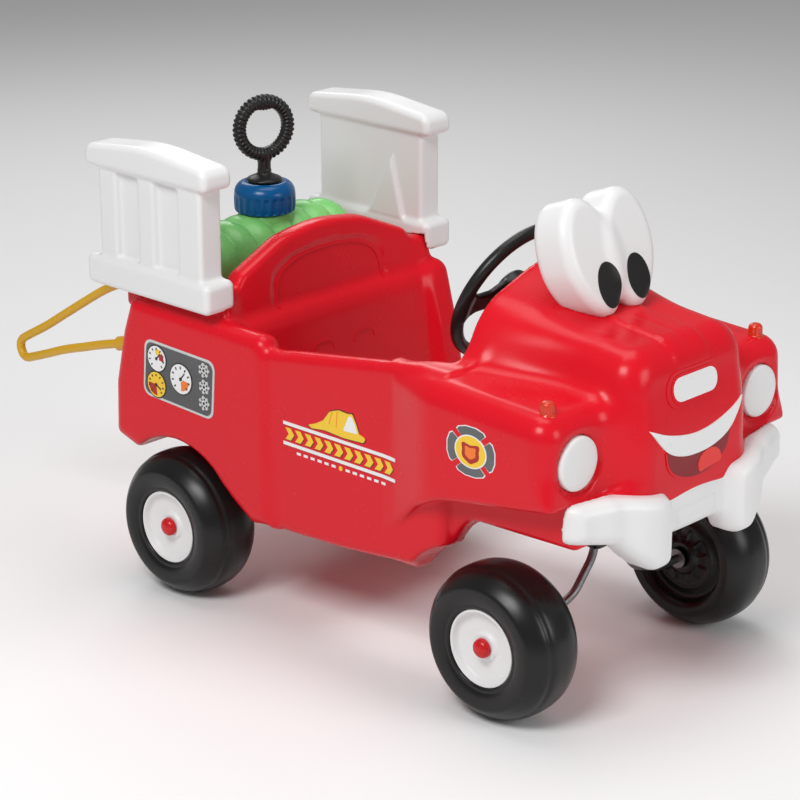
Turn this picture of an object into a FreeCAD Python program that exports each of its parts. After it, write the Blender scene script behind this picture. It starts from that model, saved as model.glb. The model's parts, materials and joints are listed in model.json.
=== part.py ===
import FreeCAD
import Part
import math
import os

# Ride-on toy fire truck, foot-to-floor. Units are millimetres.
# +X is the truck's front, +Y its left side, +Z is up. Everything is drawn about the point on the
# floor midway between the axles, and moved at the end so that the origin is under the middle of
# the truck without its hose.

V = FreeCAD.Vector
os.makedirs("parts", exist_ok=True)

# Driving dimensions
WALL = 3.0                      # moulded wall
AXLE_X = 283.0                  # axles stand this far in front of and behind the middle
WHEEL_R = 100.0
AXLE_Z = WHEEL_R
TYRE_W = 90.0
TYRE_Y = 196.0                  # centre plane of each tyre
HUB_R = 50.0
ROD_R = 5.5                     # steel rod of both axles
FIT = 0.08                      # running clearance on the radius
ARCH_R = 120.0
SKIRT_Y = 200.0
HIP_Y = 218.0
DOOR_Y = 212.0
FENDER_Y = 236.0
CAB_Y = 172.0
SEAT_Z = 238.0
DECK_Z = 414.0
RAIL_IN_Y = 182.0
RAIL_OUT_Y = 234.0
TANK_X = -330.0
TANK_R = 62.0
TANK_Z = 425.0
TANK_HALF = 134.0
CAP_R = 42.5
CAP_Z = 487.0
CAP_H = 42.0
PUMP_ROD_R = 8.0
PUMP_FOOT_Z = 384.0
PISTON_Z = PUMP_FOOT_Z + 10
RING_Z = 603.0
RING_R = 36.5
RING_TURN = -17.0               # the ring's face is turned this far about the rod
WHEEL_TILT = 65.0               # steering column's lean from vertical
STEER_X = 121.0
STEER_Z = 467.0
STEER_RIM_R = 95.0
COLUMN_R = 6.0
CRANK = 24.0
LEVER = 48.0
HEADLIGHT_X = 370.0
HEADLIGHT_R = 37.0
HOSE_R = 6.25
EYE_X = 256.0                   # middle of the eyes, their half sizes and their lean
EYE_Z = 541.0
EYE_HIGH = 76.0
EYE_WIDE = 43.0
EYE_DEEP = 27.0
EYE_LEAN = 20.0
EYE_SPLAY = 5.0
MIDDLE_X = 3.5                  # middle of the truck's length, moved to the origin

AHEAD = V(1, 0, 0)
LEFT = V(0, 1, 0)
UP = V(0, 0, 1)
tilt = math.radians(WHEEL_TILT)
COLUMN_DOWN = V(math.sin(tilt), 0, -math.cos(tilt))
COLUMN_SIDE = V(-math.cos(tilt), 0, -math.sin(tilt))
STEER_HUB = V(STEER_X, 0, STEER_Z)


# ---- drawing helpers ----

def rounded_wire(points, radii, closed=True):
    """Straight runs through the points, each corner rounded by a tangent arc."""
    count = len(points)
    starts, ends, middles = [], [], []
    for i, point in enumerate(points):
        radius = radii[i]
        inner = closed or 0 < i < count - 1
        if not inner or radius == 0:
            starts.append(point)
            ends.append(point)
            middles.append(None)
            continue
        back = (points[i - 1] - point).normalize()
        on = (points[(i + 1) % count] - point).normalize()
        half = back.getAngle(on) / 2
        reach = radius / math.tan(half)
        bisector = (back + on).normalize()
        starts.append(point + back * reach)
        ends.append(point + on * reach)
        middles.append(point + bisector * (radius / math.sin(half) - radius))
    edges = []
    for i in range(count):
        if middles[i] is not None:
            edges.append(Part.Arc(starts[i], middles[i], ends[i]).toShape())
        following = (i + 1) % count
        last = not closed and i == count - 1
        if not last and (starts[following] - ends[i]).Length > 1e-6:
            edges.append(Part.LineSegment(ends[i], starts[following]).toShape())
    return Part.Wire(edges)


def outline(axis, points, level, radius):
    """Closed wire at a level along an axis; a point's third value overrides its corner radius."""
    makers = {
        "x": lambda u, v: V(level, u, v),
        "y": lambda u, v: V(u, level, v),
        "z": lambda u, v: V(u, v, level),
    }
    corners = [makers[axis](p[0], p[1]) for p in points]
    radii = [p[2] if len(p) > 2 else radius for p in points]
    return rounded_wire(corners, radii)


def slab(axis, points, low, high, radius=0.0, grow=0.0):
    """Prism of an outline between two levels, all its faces moved outwards by grow."""
    face = Part.Face(outline(axis, points, low - grow, radius))
    if grow:
        face = face.makeOffset2D(grow)
    way = {"x": AHEAD, "y": LEFT, "z": UP}[axis]
    return face.extrude(way * (high - low + 2 * grow))


def mirrored_points(half):
    """Closed outline from one half, listed from top to bottom, mirrored about u = 0."""
    other = [(-p[0],) + tuple(p[1:]) for p in reversed(half) if p[0] != 0]
    return half + other


def rod(start, way, radius, length):
    return Part.makeCylinder(radius, length, start, way)


def box(x0, x1, y0, y1, z0, z1):
    return Part.makeBox(x1 - x0, y1 - y0, z1 - z0, V(x0, y0, z0))


def turned(points, centre, way, radius=0.0):
    """Solid of revolution about +Y through the centre; points are (radius, along Y)."""
    corners = [V(centre.x + r, centre.y + along * way, centre.z) for r, along in points]
    radii = [radius] * len(corners)
    face = Part.Face(rounded_wire(corners, radii))
    return face.revolve(centre, LEFT, 360)


def lathe(points, base):
    """Solid of revolution about +Z through the base; points are (radius, height)."""
    corners = [V(base.x + r, base.y, base.z + h) for r, h in points]
    face = Part.Face(Part.makePolygon(corners + corners[:1]))
    return face.revolve(base, UP, 360)


def pipe(points, radii, radius):
    path = rounded_wire(points, radii, closed=False)
    first = path.Edges[0]
    way = first.tangentAt(first.FirstParameter)
    section = Part.Wire(Part.makeCircle(radius, points[0], way))
    return path.makePipeShell([section], True, False)


def soften(shape, radius, chosen):
    edges = [e for e in shape.Edges if chosen(e)]
    return shape.makeFillet(radius, edges)


def on_side(level):
    """True for edges that lie wholly at +level or -level along Y."""
    def chosen(edge):
        box_y = edge.BoundBox
        flat = box_y.YMax - box_y.YMin < 1e-6
        return flat and abs(abs(box_y.YMax) - level) < 1e-6
    return chosen


def fused(shapes):
    return shapes[0].multiFuse(shapes[1:]).removeSplitter()


# ---- body shell ----

def hips(grow):
    side = [(-405, 200), (-402, 276), (-384, 352), (-367, 404, 12), (-118, 400, 16), (-104, 375, 12),
            (-100, 142), (-143, 136), (-190, 166), (-364, 184)]
    return slab("y", side, -HIP_Y, HIP_Y, 4, grow)


def doors(grow):
    side = [(-108, 384, 8), (-63, 392, 40), (145, 424), (150, 165), (23, 146), (-68, 141),
            (-108, 141)]
    block = slab("y", side, -DOOR_Y, DOOR_Y, 0, grow)
    return soften(block, 26 + grow, top_edges_at(DOOR_Y + grow, 380))


def top_edges_at(level, floor):
    def chosen(edge):
        return on_side(level)(edge) and edge.BoundBox.ZMin > floor - 6
    return chosen


def skirt(grow):
    side = [(-60, 384), (145, 412), (366, 404, 10), (372, 304, 6), (398, 298, 6), (396, 246, 8),
            (231, 241, 30), (215, 226, 60), (182, 183), (157, 164), (23, 146), (-60, 141)]
    return slab("y", side, -SKIRT_Y, SKIRT_Y, 0, grow)


def fenders(grow):
    side = [(125, 424), (378, 410, 28), (384, 300, 4), (261, 281, 60), (205, 270, 60), (162, 248, 30),
            (125, 205)]
    block = slab("y", side, -FENDER_Y, FENDER_Y, 0, grow)
    return soften(block, 24 + grow, top_edges_at(FENDER_Y + grow, 290))


def hood_section(x, half, top, radius, grow):
    half += grow
    corners = [(-half, 262 - grow, 6), (half, 262 - grow, 6), (half, top + grow, radius + grow),
               (-half, top + grow, radius + grow)]
    return outline("x", corners, x, 0)


def hood(grow):
    sections = [(164 - grow, 160, 515, 148), (235, 138, 497, 100), (300, 122, 484, 60),
                (370, 118, 478, 50), (404, 117, 474, 46), (421 + grow, 112, 462, 40)]
    wires = [hood_section(*section, grow) for section in sections]
    return Part.makeLoft(wires, True, False)


def deck(grow):
    plan = [(-396, -200), (-215, -200), (-215, 200), (-396, 200)]
    return slab("z", plan, 380, DECK_Z, 14, grow)


def seat_back(grow):
    arch = mirrored_points([(0, 499, 260), (70, 488, 120), (150, 458, 14), (166, 441, 8), (196, 436, 12),
                            (200, 396, 6), (200, 240, 4)])
    wall = slab("x", arch, -18, 18, 4, grow)
    wall.rotate(V(0, 0, 240), LEFT, -8)
    wall.translate(V(-193, 0, 0))
    return wall


def keel(grow):
    side = [(-345, 195), (-312, 88, 14), (-254, 88, 14), (-212, 195)]
    return slab("y", side, -132, 132, 0, grow)


def envelope(grow):
    shapes = [hips(grow), doors(grow), skirt(grow), fenders(grow), hood(grow), deck(grow),
              seat_back(grow), keel(grow), rod(V(AXLE_X, 0, 226 - grow), UP, 30 + grow, 40)]
    return fused(shapes)


def cab(grow):
    """Seat space, open footwell under the dash, and the mouth above them."""
    side = [(-166, SEAT_Z, 20), (-206, 505), (-214, 640), (168, 640), (178, 440), (178, 396, 8),
            (214, 380, 10), (214, 60), (-45, 60), (-45, 215), (-62, SEAT_Z, 16)]
    return slab("y", side, -CAB_Y, CAB_Y, 0, grow)


def doorway(grow):
    side = [(-150, 236, 24), (-165, 315, 60), (-180, 372, 60), (-194, 420), (-215, 640), (140, 640),
            (118, 400), (104, 236, 40)]
    return slab("y", side, CAB_Y - 30, 262, 0, grow)


def linkage_tunnel(grow):
    side = [(200, 268), (312, 268), (312, 430), (222, 430), (222, 374), (200, 374)]
    return slab("y", side, -46, 46, 0, grow)


def wheel_spaces(grow):
    spaces = []
    for side in (-1, 1):
        arch = rod(V(-AXLE_X, (143 - grow) * side, AXLE_Z), LEFT * side, ARCH_R + grow, 130)
        spaces.append(arch)
        for turn, room in ((-14, 12), (0, 6), (14, 12)):
            sweep = rod(V(AXLE_X, (143 - grow) * side, AXLE_Z), LEFT * side, WHEEL_R + room + grow,
                        106 + grow)
            sweep.rotate(V(AXLE_X, 0, 0), UP, turn)
            spaces.append(sweep)
    return spaces


def tank_space(grow):
    along = TANK_HALF + 2
    return rod(V(TANK_X, -along - grow, TANK_Z), LEFT, TANK_R + grow, 2 * (along + grow))


def bores(grow):
    axle = rod(V(-AXLE_X, -140, AXLE_Z), LEFT, ROD_R + grow, 280)
    column = rod(STEER_HUB + COLUMN_DOWN * 40, COLUMN_DOWN, 10 + grow, 95)
    kingpin = rod(V(AXLE_X, 0, 220), UP, 17 + grow, 60)
    return [axle, column, kingpin]


def recesses(grow):
    """Seats of the lamps and of the two hose fittings."""
    seats = []
    for side in (-1, 1):
        seats.append(rod(V(HEADLIGHT_X, 178 * side, 349), AHEAD, HEADLIGHT_R + grow, 30))
        seats[-1].translate(V(-grow, 0, 0))
        seats.append(rod(V(353, 203 * side, 404 - grow), UP, 11.5 + grow, 30))
    start, way = hose_start()
    seats.append(rod(start, way, 9.5 + grow, 26 + grow))
    end, way = hose_finish()
    seats.append(rod(end, way, 10 + grow, 22 + grow))
    seats.append(rod(end + way * 20, way, 10 + grow, 29 + grow))
    return seats


def body_shell():
    def hollows(grow):
        return [cab(grow), doorway(grow), linkage_tunnel(grow), tank_space(grow)] \
            + wheel_spaces(grow) + bores(grow) + recesses(grow)
    skin = envelope(0).cut(hollows(0))
    core = envelope(-WALL).cut(hollows(WALL))
    return skin, core


# ---- rails, tank and pump ----

def rail(side):
    def beam(x0, x1, y0, y1, z0, z1, radius):
        plan = [(x0, y0), (x1, y0), (x1, y1), (x0, y1)]
        return soften_all(slab("z", plan, z0, z1, radius), 5)
    top = [(-434, 577, 8), (-196, 577, 8), (-198, 606, 14), (-315, 619, 300), (-432, 606, 14)]
    top_beam = soften_all(slab("y", top, RAIL_IN_Y, RAIL_OUT_Y), 6)
    bottom_beam = beam(-434, -196, RAIL_IN_Y, RAIL_OUT_Y, DECK_Z, 455, 12)
    panel = box(-412, -213, RAIL_IN_Y + 6, RAIL_OUT_Y - 7, 448, 585)
    gusset_side = [(-268, 537), (-245, 450), (-314, 450)]
    gusset = slab("y", gusset_side, RAIL_IN_Y - 1, RAIL_IN_Y + 10)
    whole = fused([top_beam, bottom_beam, panel, gusset])
    recesses = [slab("y", [(x0, 462), (x1, 462), (x1, 572), (x0, 572)], RAIL_OUT_Y - 13, RAIL_OUT_Y, 5)
                for x0, x1 in ((-372, -336), (-290, -254))]
    hollow = [box(-428, -202, RAIL_IN_Y + 5, RAIL_OUT_Y - 5, 583, 600),
              box(-428, -202, RAIL_IN_Y + 5, RAIL_OUT_Y - 5, 421, 449),
              box(-407, -218, RAIL_IN_Y + 10, RAIL_OUT_Y - 18, 449, 583)]
    whole = whole.cut(recesses).cut(seat_back(0.4))
    whole = whole.cut(fused(hollow).cut(seat_back(0.4 + WALL)))
    if side < 0:
        whole = whole.mirror(V(0, 0, 0), LEFT)
    return whole


def soften_all(shape, radius):
    return shape.makeFillet(radius, shape.Edges)


def water_tank():
    pitch = 38.0
    ribs = 7
    wave = []
    steps = ribs * 4
    for i in range(steps + 1):
        along = -TANK_HALF + 2 * TANK_HALF * i / steps
        bulge = 5 * abs(math.cos(math.pi * along / pitch)) - 5
        taper = 11 * (along / TANK_HALF) ** 4
        wave.append((TANK_R + bulge - taper, along))
    outer = turned([(0, -TANK_HALF)] + wave + [(0, TANK_HALF)], V(TANK_X, 0, TANK_Z), 1)
    neck = rod(V(TANK_X, 0, TANK_Z + 40), UP, 33, CAP_Z + 8 - TANK_Z - 40)
    seat = rod(V(TANK_X, 0, TANK_Z + 40), UP, 40, CAP_Z - 1 - TANK_Z - 40)
    inside = TANK_R - 9
    half = [(0, -TANK_HALF + 4), (inside - 9, -TANK_HALF + 4), (inside, -TANK_HALF + 34)]
    hollow = turned(half + [(r, -along) for r, along in reversed(half)], V(TANK_X, 0, TANK_Z), 1)
    mouth = rod(V(TANK_X, 0, TANK_Z), UP, 29, 80)
    return fused([outer, seat, neck]).cut([hollow, mouth])


def tank_cap():
    centre = V(TANK_X, 0, 0)
    profile = [(PUMP_ROD_R + FIT, CAP_Z), (CAP_R - 3, CAP_Z), (CAP_R, CAP_Z + 3), (CAP_R, CAP_Z + 24),
               (CAP_R - 4, CAP_Z + 34), (CAP_R - 12, CAP_Z + 40), (26, CAP_Z + CAP_H),
               (PUMP_ROD_R + FIT, CAP_Z + CAP_H)]
    cap = lathe(profile, centre)
    inside = rod(V(TANK_X, 0, CAP_Z - 1), UP, 33.6, 11)
    cap = cap.cut(inside)
    flutes = []
    for i in range(20):
        turn = 2 * math.pi * i / 20
        foot = V(TANK_X + math.cos(turn) * (CAP_R + 1.6), math.sin(turn) * (CAP_R + 1.6), CAP_Z - 1)
        flutes.append(rod(foot, UP, 2.6, 22))
    return cap.cut(flutes)


def pump_barrel():
    """Tube under the cap, with a foot valve seat at its lower end."""
    centre = V(TANK_X, 0, 0)
    profile = [(13, PUMP_FOOT_Z), (17, PUMP_FOOT_Z), (17, CAP_Z + 2), (28, CAP_Z + 2), (28, CAP_Z + 10),
               (PUMP_ROD_R + 4, CAP_Z + 10), (PUMP_ROD_R + 4, CAP_Z + 4), (13, CAP_Z + 4)]
    tube = lathe(profile, centre)
    foot = lathe([(3, PUMP_FOOT_Z), (13, PUMP_FOOT_Z), (13, PUMP_FOOT_Z + 4), (3, PUMP_FOOT_Z + 4)],
                 centre)
    return fused([tube, foot])


def pump_piston():
    foot = V(TANK_X, 0, PISTON_Z)
    return lathe([(4, 0), (11.5, 0), (11.5, 4), (9.5, 4), (9.5, 9), (11.5, 9), (11.5, 14), (4, 14)], foot)


def pump_seal():
    return lathe([(9.5, 4), (12.92, 4), (12.92, 9), (9.5, 9)], V(TANK_X, 0, PISTON_Z))


def pump_rod():
    thin = rod(V(TANK_X, 0, PISTON_Z), UP, 4, 20)
    thick = rod(V(TANK_X, 0, PISTON_Z + 14), UP, PUMP_ROD_R, 540 - PISTON_Z - 14)
    return fused([thin, thick])


def pump_handle():
    """Ring grip on a short stem with a flange that rests on the cap."""
    top = CAP_Z + CAP_H
    flange = lathe([(PUMP_ROD_R, top + 0.3), (25, top + 0.3), (25, top + 3), (13, top + 8), (9.5, top + 11),
                    (PUMP_ROD_R, top + 11)], V(TANK_X, 0, 0))
    sleeve = rod(V(TANK_X, 0, top + 8), UP, 9.5, 30).cut(rod(V(TANK_X, 0, 500), UP, PUMP_ROD_R, 40))
    way = V(math.cos(math.radians(RING_TURN)), math.sin(math.radians(RING_TURN)), 0)
    ring = Part.makeTorus(RING_R, 10, V(TANK_X, 0, RING_Z), way)
    return fused([flange, sleeve, ring])


# ---- hose ----

HOSE_POINTS = [(-404, -172, 402), (-436, -172, 398), (-470, -173, 382), (-512, -174, 356),
               (-556, -176, 328), (-598, -177, 301), (-633, -178, 282), (-658, -179, 267),
               (-646, -181, 243), (-618, -182, 253), (-586, -183, 265), (-548, -184, 280),
               (-505, -184, 293), (-462, -185, 307), (-428, -186, 316)]


def bend_radii(points):
    radii = [0.0]
    for before, here, after in zip(points, points[1:], points[2:]):
        back = before - here
        on = after - here
        turn = math.pi - back.getAngle(on)
        radii.append(0.45 * min(back.Length, on.Length) / math.tan(turn / 2))
    radii.append(0.0)
    return radii


def hose():
    points = [V(*p) for p in HOSE_POINTS]
    radii = bend_radii(points)
    length = rounded_wire(points, radii, closed=False).Length
    tube = pipe(points, radii, HOSE_R)
    ratio = tube.Volume / (math.pi * HOSE_R ** 2 * length)
    print("hose radii", [round(r, 1) for r in radii[1:-1]])
    print("hose length %.0f, volume over section times length %.4f" % (length, ratio))
    return tube


def hose_start():
    first = V(*HOSE_POINTS[0])
    return first, (first - V(*HOSE_POINTS[1])).normalize()


def hose_finish():
    last = V(*HOSE_POINTS[-1])
    return last, (last - V(*HOSE_POINTS[-2])).normalize()


def hose_outlet():
    """Barbed elbow fitting that stands in the rear face and feeds the hose."""
    first, way = hose_start()
    barrel = rod(first, way, 9.5, 26)
    flange = rod(first + way * 3, way, 14, 3)
    return fused([barrel, flange])


def hose_nozzle():
    """Nozzle on the hose's free end, parked in the rear face."""
    last, way = hose_finish()
    grip = rod(last, way, 10, 22)
    tip = Part.makeCone(10, 6, 26, last + way * 22, way)
    return fused([grip, tip])


# ---- wheels and axles ----

def tyre_radius(across):
    return WHEEL_R - 20 * abs(2 * across / TYRE_W) ** 2.7


def wheel_point(front, side):
    return V(AXLE_X if front else -AXLE_X, TYRE_Y * side, AXLE_Z)


def tyre(front, side):
    centre = wheel_point(front, side)
    half = TYRE_W / 2
    steps = 10
    tread = []
    for i in range(steps + 1):
        across = -half + TYRE_W * i / steps
        tread.append((tyre_radius(across), across))
    profile = [(HUB_R, half - 4), (HUB_R, half - 22), (12, half - 22), (12, -half + 6), (22, -half + 6),
               (26, -half + 9), (56, -half + 9), (60, -half + 2)]
    outer = turned(profile + tread + [(60, half - 2)], centre, side)
    core = [(54, half - 8), (54, half - 26), (16, half - 26), (16, -half + 13), (60, -half + 13),
            (66, -half + 5)]
    inner = [(tyre_radius(a) - WALL, a * 0.93) for r, a in tread[1:-1]]
    return outer.cut(turned(core + inner, centre, side))


def hub(front, side):
    centre = wheel_point(front, side)
    half = TYRE_W / 2
    bore = ROD_R + FIT
    profile = [(bore, -half + 2), (12, -half + 2), (12, half - 22), (HUB_R, half - 22), (HUB_R, half - 7),
               (HUB_R - 3, half - 5), (HUB_R - 7, half - 6), (HUB_R - 12, half - 13), (22, half - 14),
               (16, half - 9), (bore, half - 9)]
    return turned(profile, centre, side)


def axle_cap(front, side):
    """Domed press-on cap that keeps the wheel on the rod."""
    centre = wheel_point(front, side)
    half = TYRE_W / 2
    profile = [(ROD_R, half - 8.4), (10.5, half - 8.4), (10.5, half - 4), (8.5, half - 1), (4.5, half + 1.2),
               (0, half + 2), (0, half - 2), (ROD_R, half - 2)]
    return turned(profile, centre, side)


def axle_reach():
    return TYRE_Y + TYRE_W / 2 - 2


def rear_axle():
    return rod(V(-AXLE_X, -axle_reach(), AXLE_Z), LEFT, ROD_R, 2 * axle_reach())


def front_axle():
    """One bent rod: two stubs, two inclined runs and a narrow loop that the knuckle grips."""
    half = [(axle_reach(), 100, 0), (112, 100, 30), (60, 118, 34), (23, 160, 40), (22, 206, 14)]
    right = [V(AXLE_X, -y, z) for y, z, r in half]
    left = [V(AXLE_X, y, z) for y, z, r in reversed(half)]
    radii = [r for y, z, r in half]
    return pipe(right + left, radii + radii[::-1], ROD_R)


def washers(front, side):
    centre = wheel_point(front, side)
    half = TYRE_W / 2
    profile = [(ROD_R, -half - 2), (13, -half - 2), (13, -half + 0.4), (ROD_R, -half + 0.4)]
    return turned(profile, centre, side)


def axle_bushing(side):
    """Flanged sleeve that closes the rear axle's tunnel in the body."""
    start = V(-AXLE_X, 132 * side, AXLE_Z)
    sleeve = rod(start, LEFT * side, 12, 9)
    return sleeve.cut(rod(start, LEFT * side, ROD_R, 20))


# ---- steering ----

def along_column(distance):
    return STEER_HUB + COLUMN_DOWN * distance


def steering_wheel():
    rim = Part.makeTorus(STEER_RIM_R, 8, STEER_HUB, COLUMN_DOWN)
    boss = rod(along_column(-10), COLUMN_DOWN, 26, 32)
    parts = [rim, boss]
    for angle in (0, 90, 270):
        spoke = Part.makeBox(STEER_RIM_R, 26, 7, V(0, -13, -3.5))
        spoke = soften_all(spoke, 3)
        spoke.rotate(V(0, 0, 0), UP, angle)
        turn = FreeCAD.Rotation(UP, COLUMN_DOWN)
        spoke.Placement = FreeCAD.Placement(STEER_HUB, turn).multiply(spoke.Placement)
        parts.append(spoke)
    bore = rod(along_column(0), COLUMN_DOWN, COLUMN_R, 60)
    pocket = rod(along_column(-10.5), COLUMN_DOWN, 17.5, 9)
    return fused(parts).cut([bore, pocket])


def horn_button():
    cap = rod(along_column(-13), COLUMN_DOWN, 17, 7)
    return soften(cap, 2.5, lambda e: abs(e.Length - 2 * math.pi * 17) < 1 and
                  (e.CenterOfMass - along_column(-13)).Length < 0.1)


def horn_spring():
    """Foam ring that pushes the button back."""
    ring = rod(along_column(-6), COLUMN_DOWN, 15, 4.5)
    return ring.cut(rod(along_column(-8), COLUMN_DOWN, 10, 12))


def crank_distance():
    """How far down the column the crank stands, so that its ball lies over the lever's fork."""
    ball_x = AXLE_X - LEVER
    return (ball_x - COLUMN_SIDE.x * CRANK - STEER_X) / COLUMN_DOWN.x


def crank_ball():
    return along_column(crank_distance()) + COLUMN_SIDE * CRANK


def steering_column():
    length = crank_distance() + 5
    shaft = rod(along_column(0), COLUMN_DOWN, COLUMN_R, length)
    arm = rod(along_column(crank_distance()), COLUMN_SIDE, 5, CRANK)
    ball = Part.makeSphere(6, crank_ball())
    return fused([shaft, arm, ball])


def column_bushing(start, length):
    sleeve = rod(along_column(start), COLUMN_DOWN, 10, length)
    return sleeve.cut(rod(along_column(start - 5), COLUMN_DOWN, COLUMN_R + FIT, length + 10))


def column_nut():
    """Push-on nut behind the steering wheel."""
    ring = rod(along_column(22.3), COLUMN_DOWN, 11, 2.5)
    return ring.cut(rod(along_column(20), COLUMN_DOWN, COLUMN_R, 10))


def steering_knuckle():
    """Post that grips the front axle's loop, turns in the body and carries the forked lever."""
    ball = crank_ball()
    clamp = slab("z", [(AXLE_X - 14, -34), (AXLE_X + 14, -34), (AXLE_X + 14, 34), (AXLE_X - 14, 34)],
                 172, 222, 6)
    post = rod(V(AXLE_X, 0, 215), UP, 12, ball.z + 9 - 215)
    low, high = ball.z - 7, ball.z + 9
    lever = slab("z", [(AXLE_X + 14, -14), (AXLE_X + 14, 14), (ball.x - 9, 14), (ball.x - 9, -14)],
                 low, high, 5)
    slot = box(ball.x - 20, ball.x + 15, -7, 7, low - 1, high + 1)
    arm_room = box(ball.x - 20, ball.x + 18, -20, 20, ball.z + 1.5, high + 1)
    body = fused([clamp, post, lever]).cut([slot, arm_room])
    return body.cut(front_axle())


def knuckle_bushing():
    centre = V(AXLE_X, 0, 0)
    return lathe([(12 + FIT, 226), (17, 226), (17, 268), (22, 268), (22, 271), (12 + FIT, 271)], centre)


# ---- front trim ----

def bumper():
    front = mirrored_points([(0, 288, 200), (60, 281, 60), (110, 297, 60), (150, 315, 30), (214, 316, 10),
                             (222, 262, 12), (145, 246, 10), (118, 222, 14), (92, 203, 12), (66, 202, 12),
                             (46, 225, 8)])
    face = slab("x", front, 360, 460)
    half = [(0, 441, 600), (100, 436, 300), (165, 421, 60), (214, 398, 9), (208, 380, 3),
            (160, 396, 40), (0, 408, 0)]
    plan = [(x, y) + tuple(rest) for y, x, *rest in mirrored_points(half)]
    return face.common(slab("z", plan, 190, 330, 0)).cut(envelope(0))


def headlight(side):
    start = V(HEADLIGHT_X, 178 * side, 349)
    lens = rod(start, AHEAD, HEADLIGHT_R, 15)
    rim = [e for e in lens.Edges if e.BoundBox.XMin > 384.9]
    return lens.makeFillet(5, rim)


def fender_lamp(side):
    base = V(353, 203 * side, 404)
    shape = lathe([(0, 0), (11.5, 0), (11.5, 7), (9.5, 9), (9.5, 19), (5, 23), (0, 23)], base)
    return shape


def place_eye(shape, side):
    """Leans a shape drawn about the eye's middle, with the eye facing +X, into its place."""
    shape.rotate(V(0, 0, 0), AHEAD, -EYE_SPLAY * side)
    shape.rotate(V(0, 0, 0), LEFT, -EYE_LEAN)
    shape.translate(V(EYE_X, 38 * side, EYE_Z))
    return shape


def eye_lobe(side, grow):
    """Oval slab with well-rounded rims."""
    curve = Part.Ellipse(V(0, 0, 0), EYE_HIGH + grow, EYE_WIDE + grow)
    depth = EYE_DEEP + grow
    slab_shape = Part.Face(Part.Wire(curve.toShape())).extrude(UP * (2 * depth))
    slab_shape = slab_shape.makeFillet(19 + grow, rims_of(slab_shape))
    slab_shape.translate(V(0, 0, -depth))
    slab_shape.rotate(V(0, 0, 0), LEFT, 90)
    return place_eye(slab_shape, side)


def rims_of(shape):
    return [e for e in shape.Edges if e.BoundBox.ZLength < 1e-6 and len(e.Vertexes) == 1]


def eyes(hood_shape):
    outside = fused([eye_lobe(-1, 0), eye_lobe(1, 0)])
    inside = fused([eye_lobe(-1, -WALL), eye_lobe(1, -WALL)])
    return outside.cut(inside).cut(hood_shape)


def pupil(side):
    """Black oval, a millimetre thick, on the face of the white moulding."""
    curve = Part.Ellipse(V(0, 0, 0), 30, 21)
    disc = Part.Face(Part.Wire(curve.toShape())).extrude(UP * 60)
    disc.rotate(V(0, 0, 0), LEFT, 90)
    disc.translate(V(0, -6 * side, -27))
    disc = place_eye(disc, side)
    return eye_lobe(side, 1.0).common(disc).cut(eye_lobe(side, 0))


def pupils():
    return Part.makeCompound([pupil(-1), pupil(1)])


def crescent(corner, corner_z, top_mid, low_mid, x0, x1):
    """Moon shape between two arcs that share their end points."""
    right = V(x0, -corner, corner_z)
    left = V(x0, corner, corner_z)
    upper = Part.Arc(right, V(x0, 0, top_mid), left).toShape()
    lower = Part.Arc(left, V(x0, 0, low_mid), right).toShape()
    return Part.Face(Part.Wire([upper, lower])).extrude(AHEAD * (x1 - x0))


def mouth():
    return crescent(66, 345, 330, 299, 421, 422.2)


def teeth():
    return crescent(94, 374, 350, 328, 421, 423).cut(mouth())


def tongue():
    return crescent(30, 312, 326, 302, 422.2, 423.4)


def plaque():
    pill = [(-46, 396), (46, 396), (46, 426), (-46, 426)]
    plate = slab("x", pill, 421, 425, 14)
    return plate


# ---- side graphics, all thin plates ----

def gauge_panel(side):
    corners = [(-337, 353), (-200, 349), (-206, 267), (-343, 273)]
    return slab("y", corners, HIP_Y, HIP_Y + 1.5, 10) if side > 0 else \
        slab("y", corners, -HIP_Y - 1.5, -HIP_Y, 10)


def gauge_dials(side):
    places = [(-318, 330, 13), (-318, 292, 13), (-277, 311, 17), (-232, 334, 8), (-232, 311, 8),
              (-232, 288, 8)]
    level = HIP_Y + 1.5
    dials = [rod(V(x, level * side, z), LEFT * side, r, 1.2) for x, z, r in places]
    return dials


def stripes(side):
    shapes = []
    for z0, z1 in ((293, 298), (265, 270)):
        shapes.append(slab_between(side, [(-80, z0), (120, z0), (120, z1), (-80, z1)], DOOR_Y, 0.8))
    shapes.append(helmet(side))
    return shapes


def slab_between(side, points, level, thick, radius=0.0):
    if side > 0:
        return slab("y", points, level, level + thick, radius)
    return slab("y", points, -level - thick, -level, radius)


def helmet(side):
    outline_points = [(-34, 302, 1), (66, 302, 2), (68, 309, 2), (56, 313, 3), (49, 337, 8), (10, 336, 14),
                      (-7, 316, 8), (-33, 307, 2)]
    return slab_between(side, outline_points, DOOR_Y, 0.8)


def badge(side):
    centre_x, centre_z = 264.0, 350.0
    points = []
    for i in range(8):
        turn = math.radians(45 * i + 22.5)
        points.append((centre_x + 39 * math.cos(turn), centre_z + 32 * math.sin(turn)))
    return slab_between(side, points, FENDER_Y, 1.0, 6)


# ---- export ----

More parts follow.
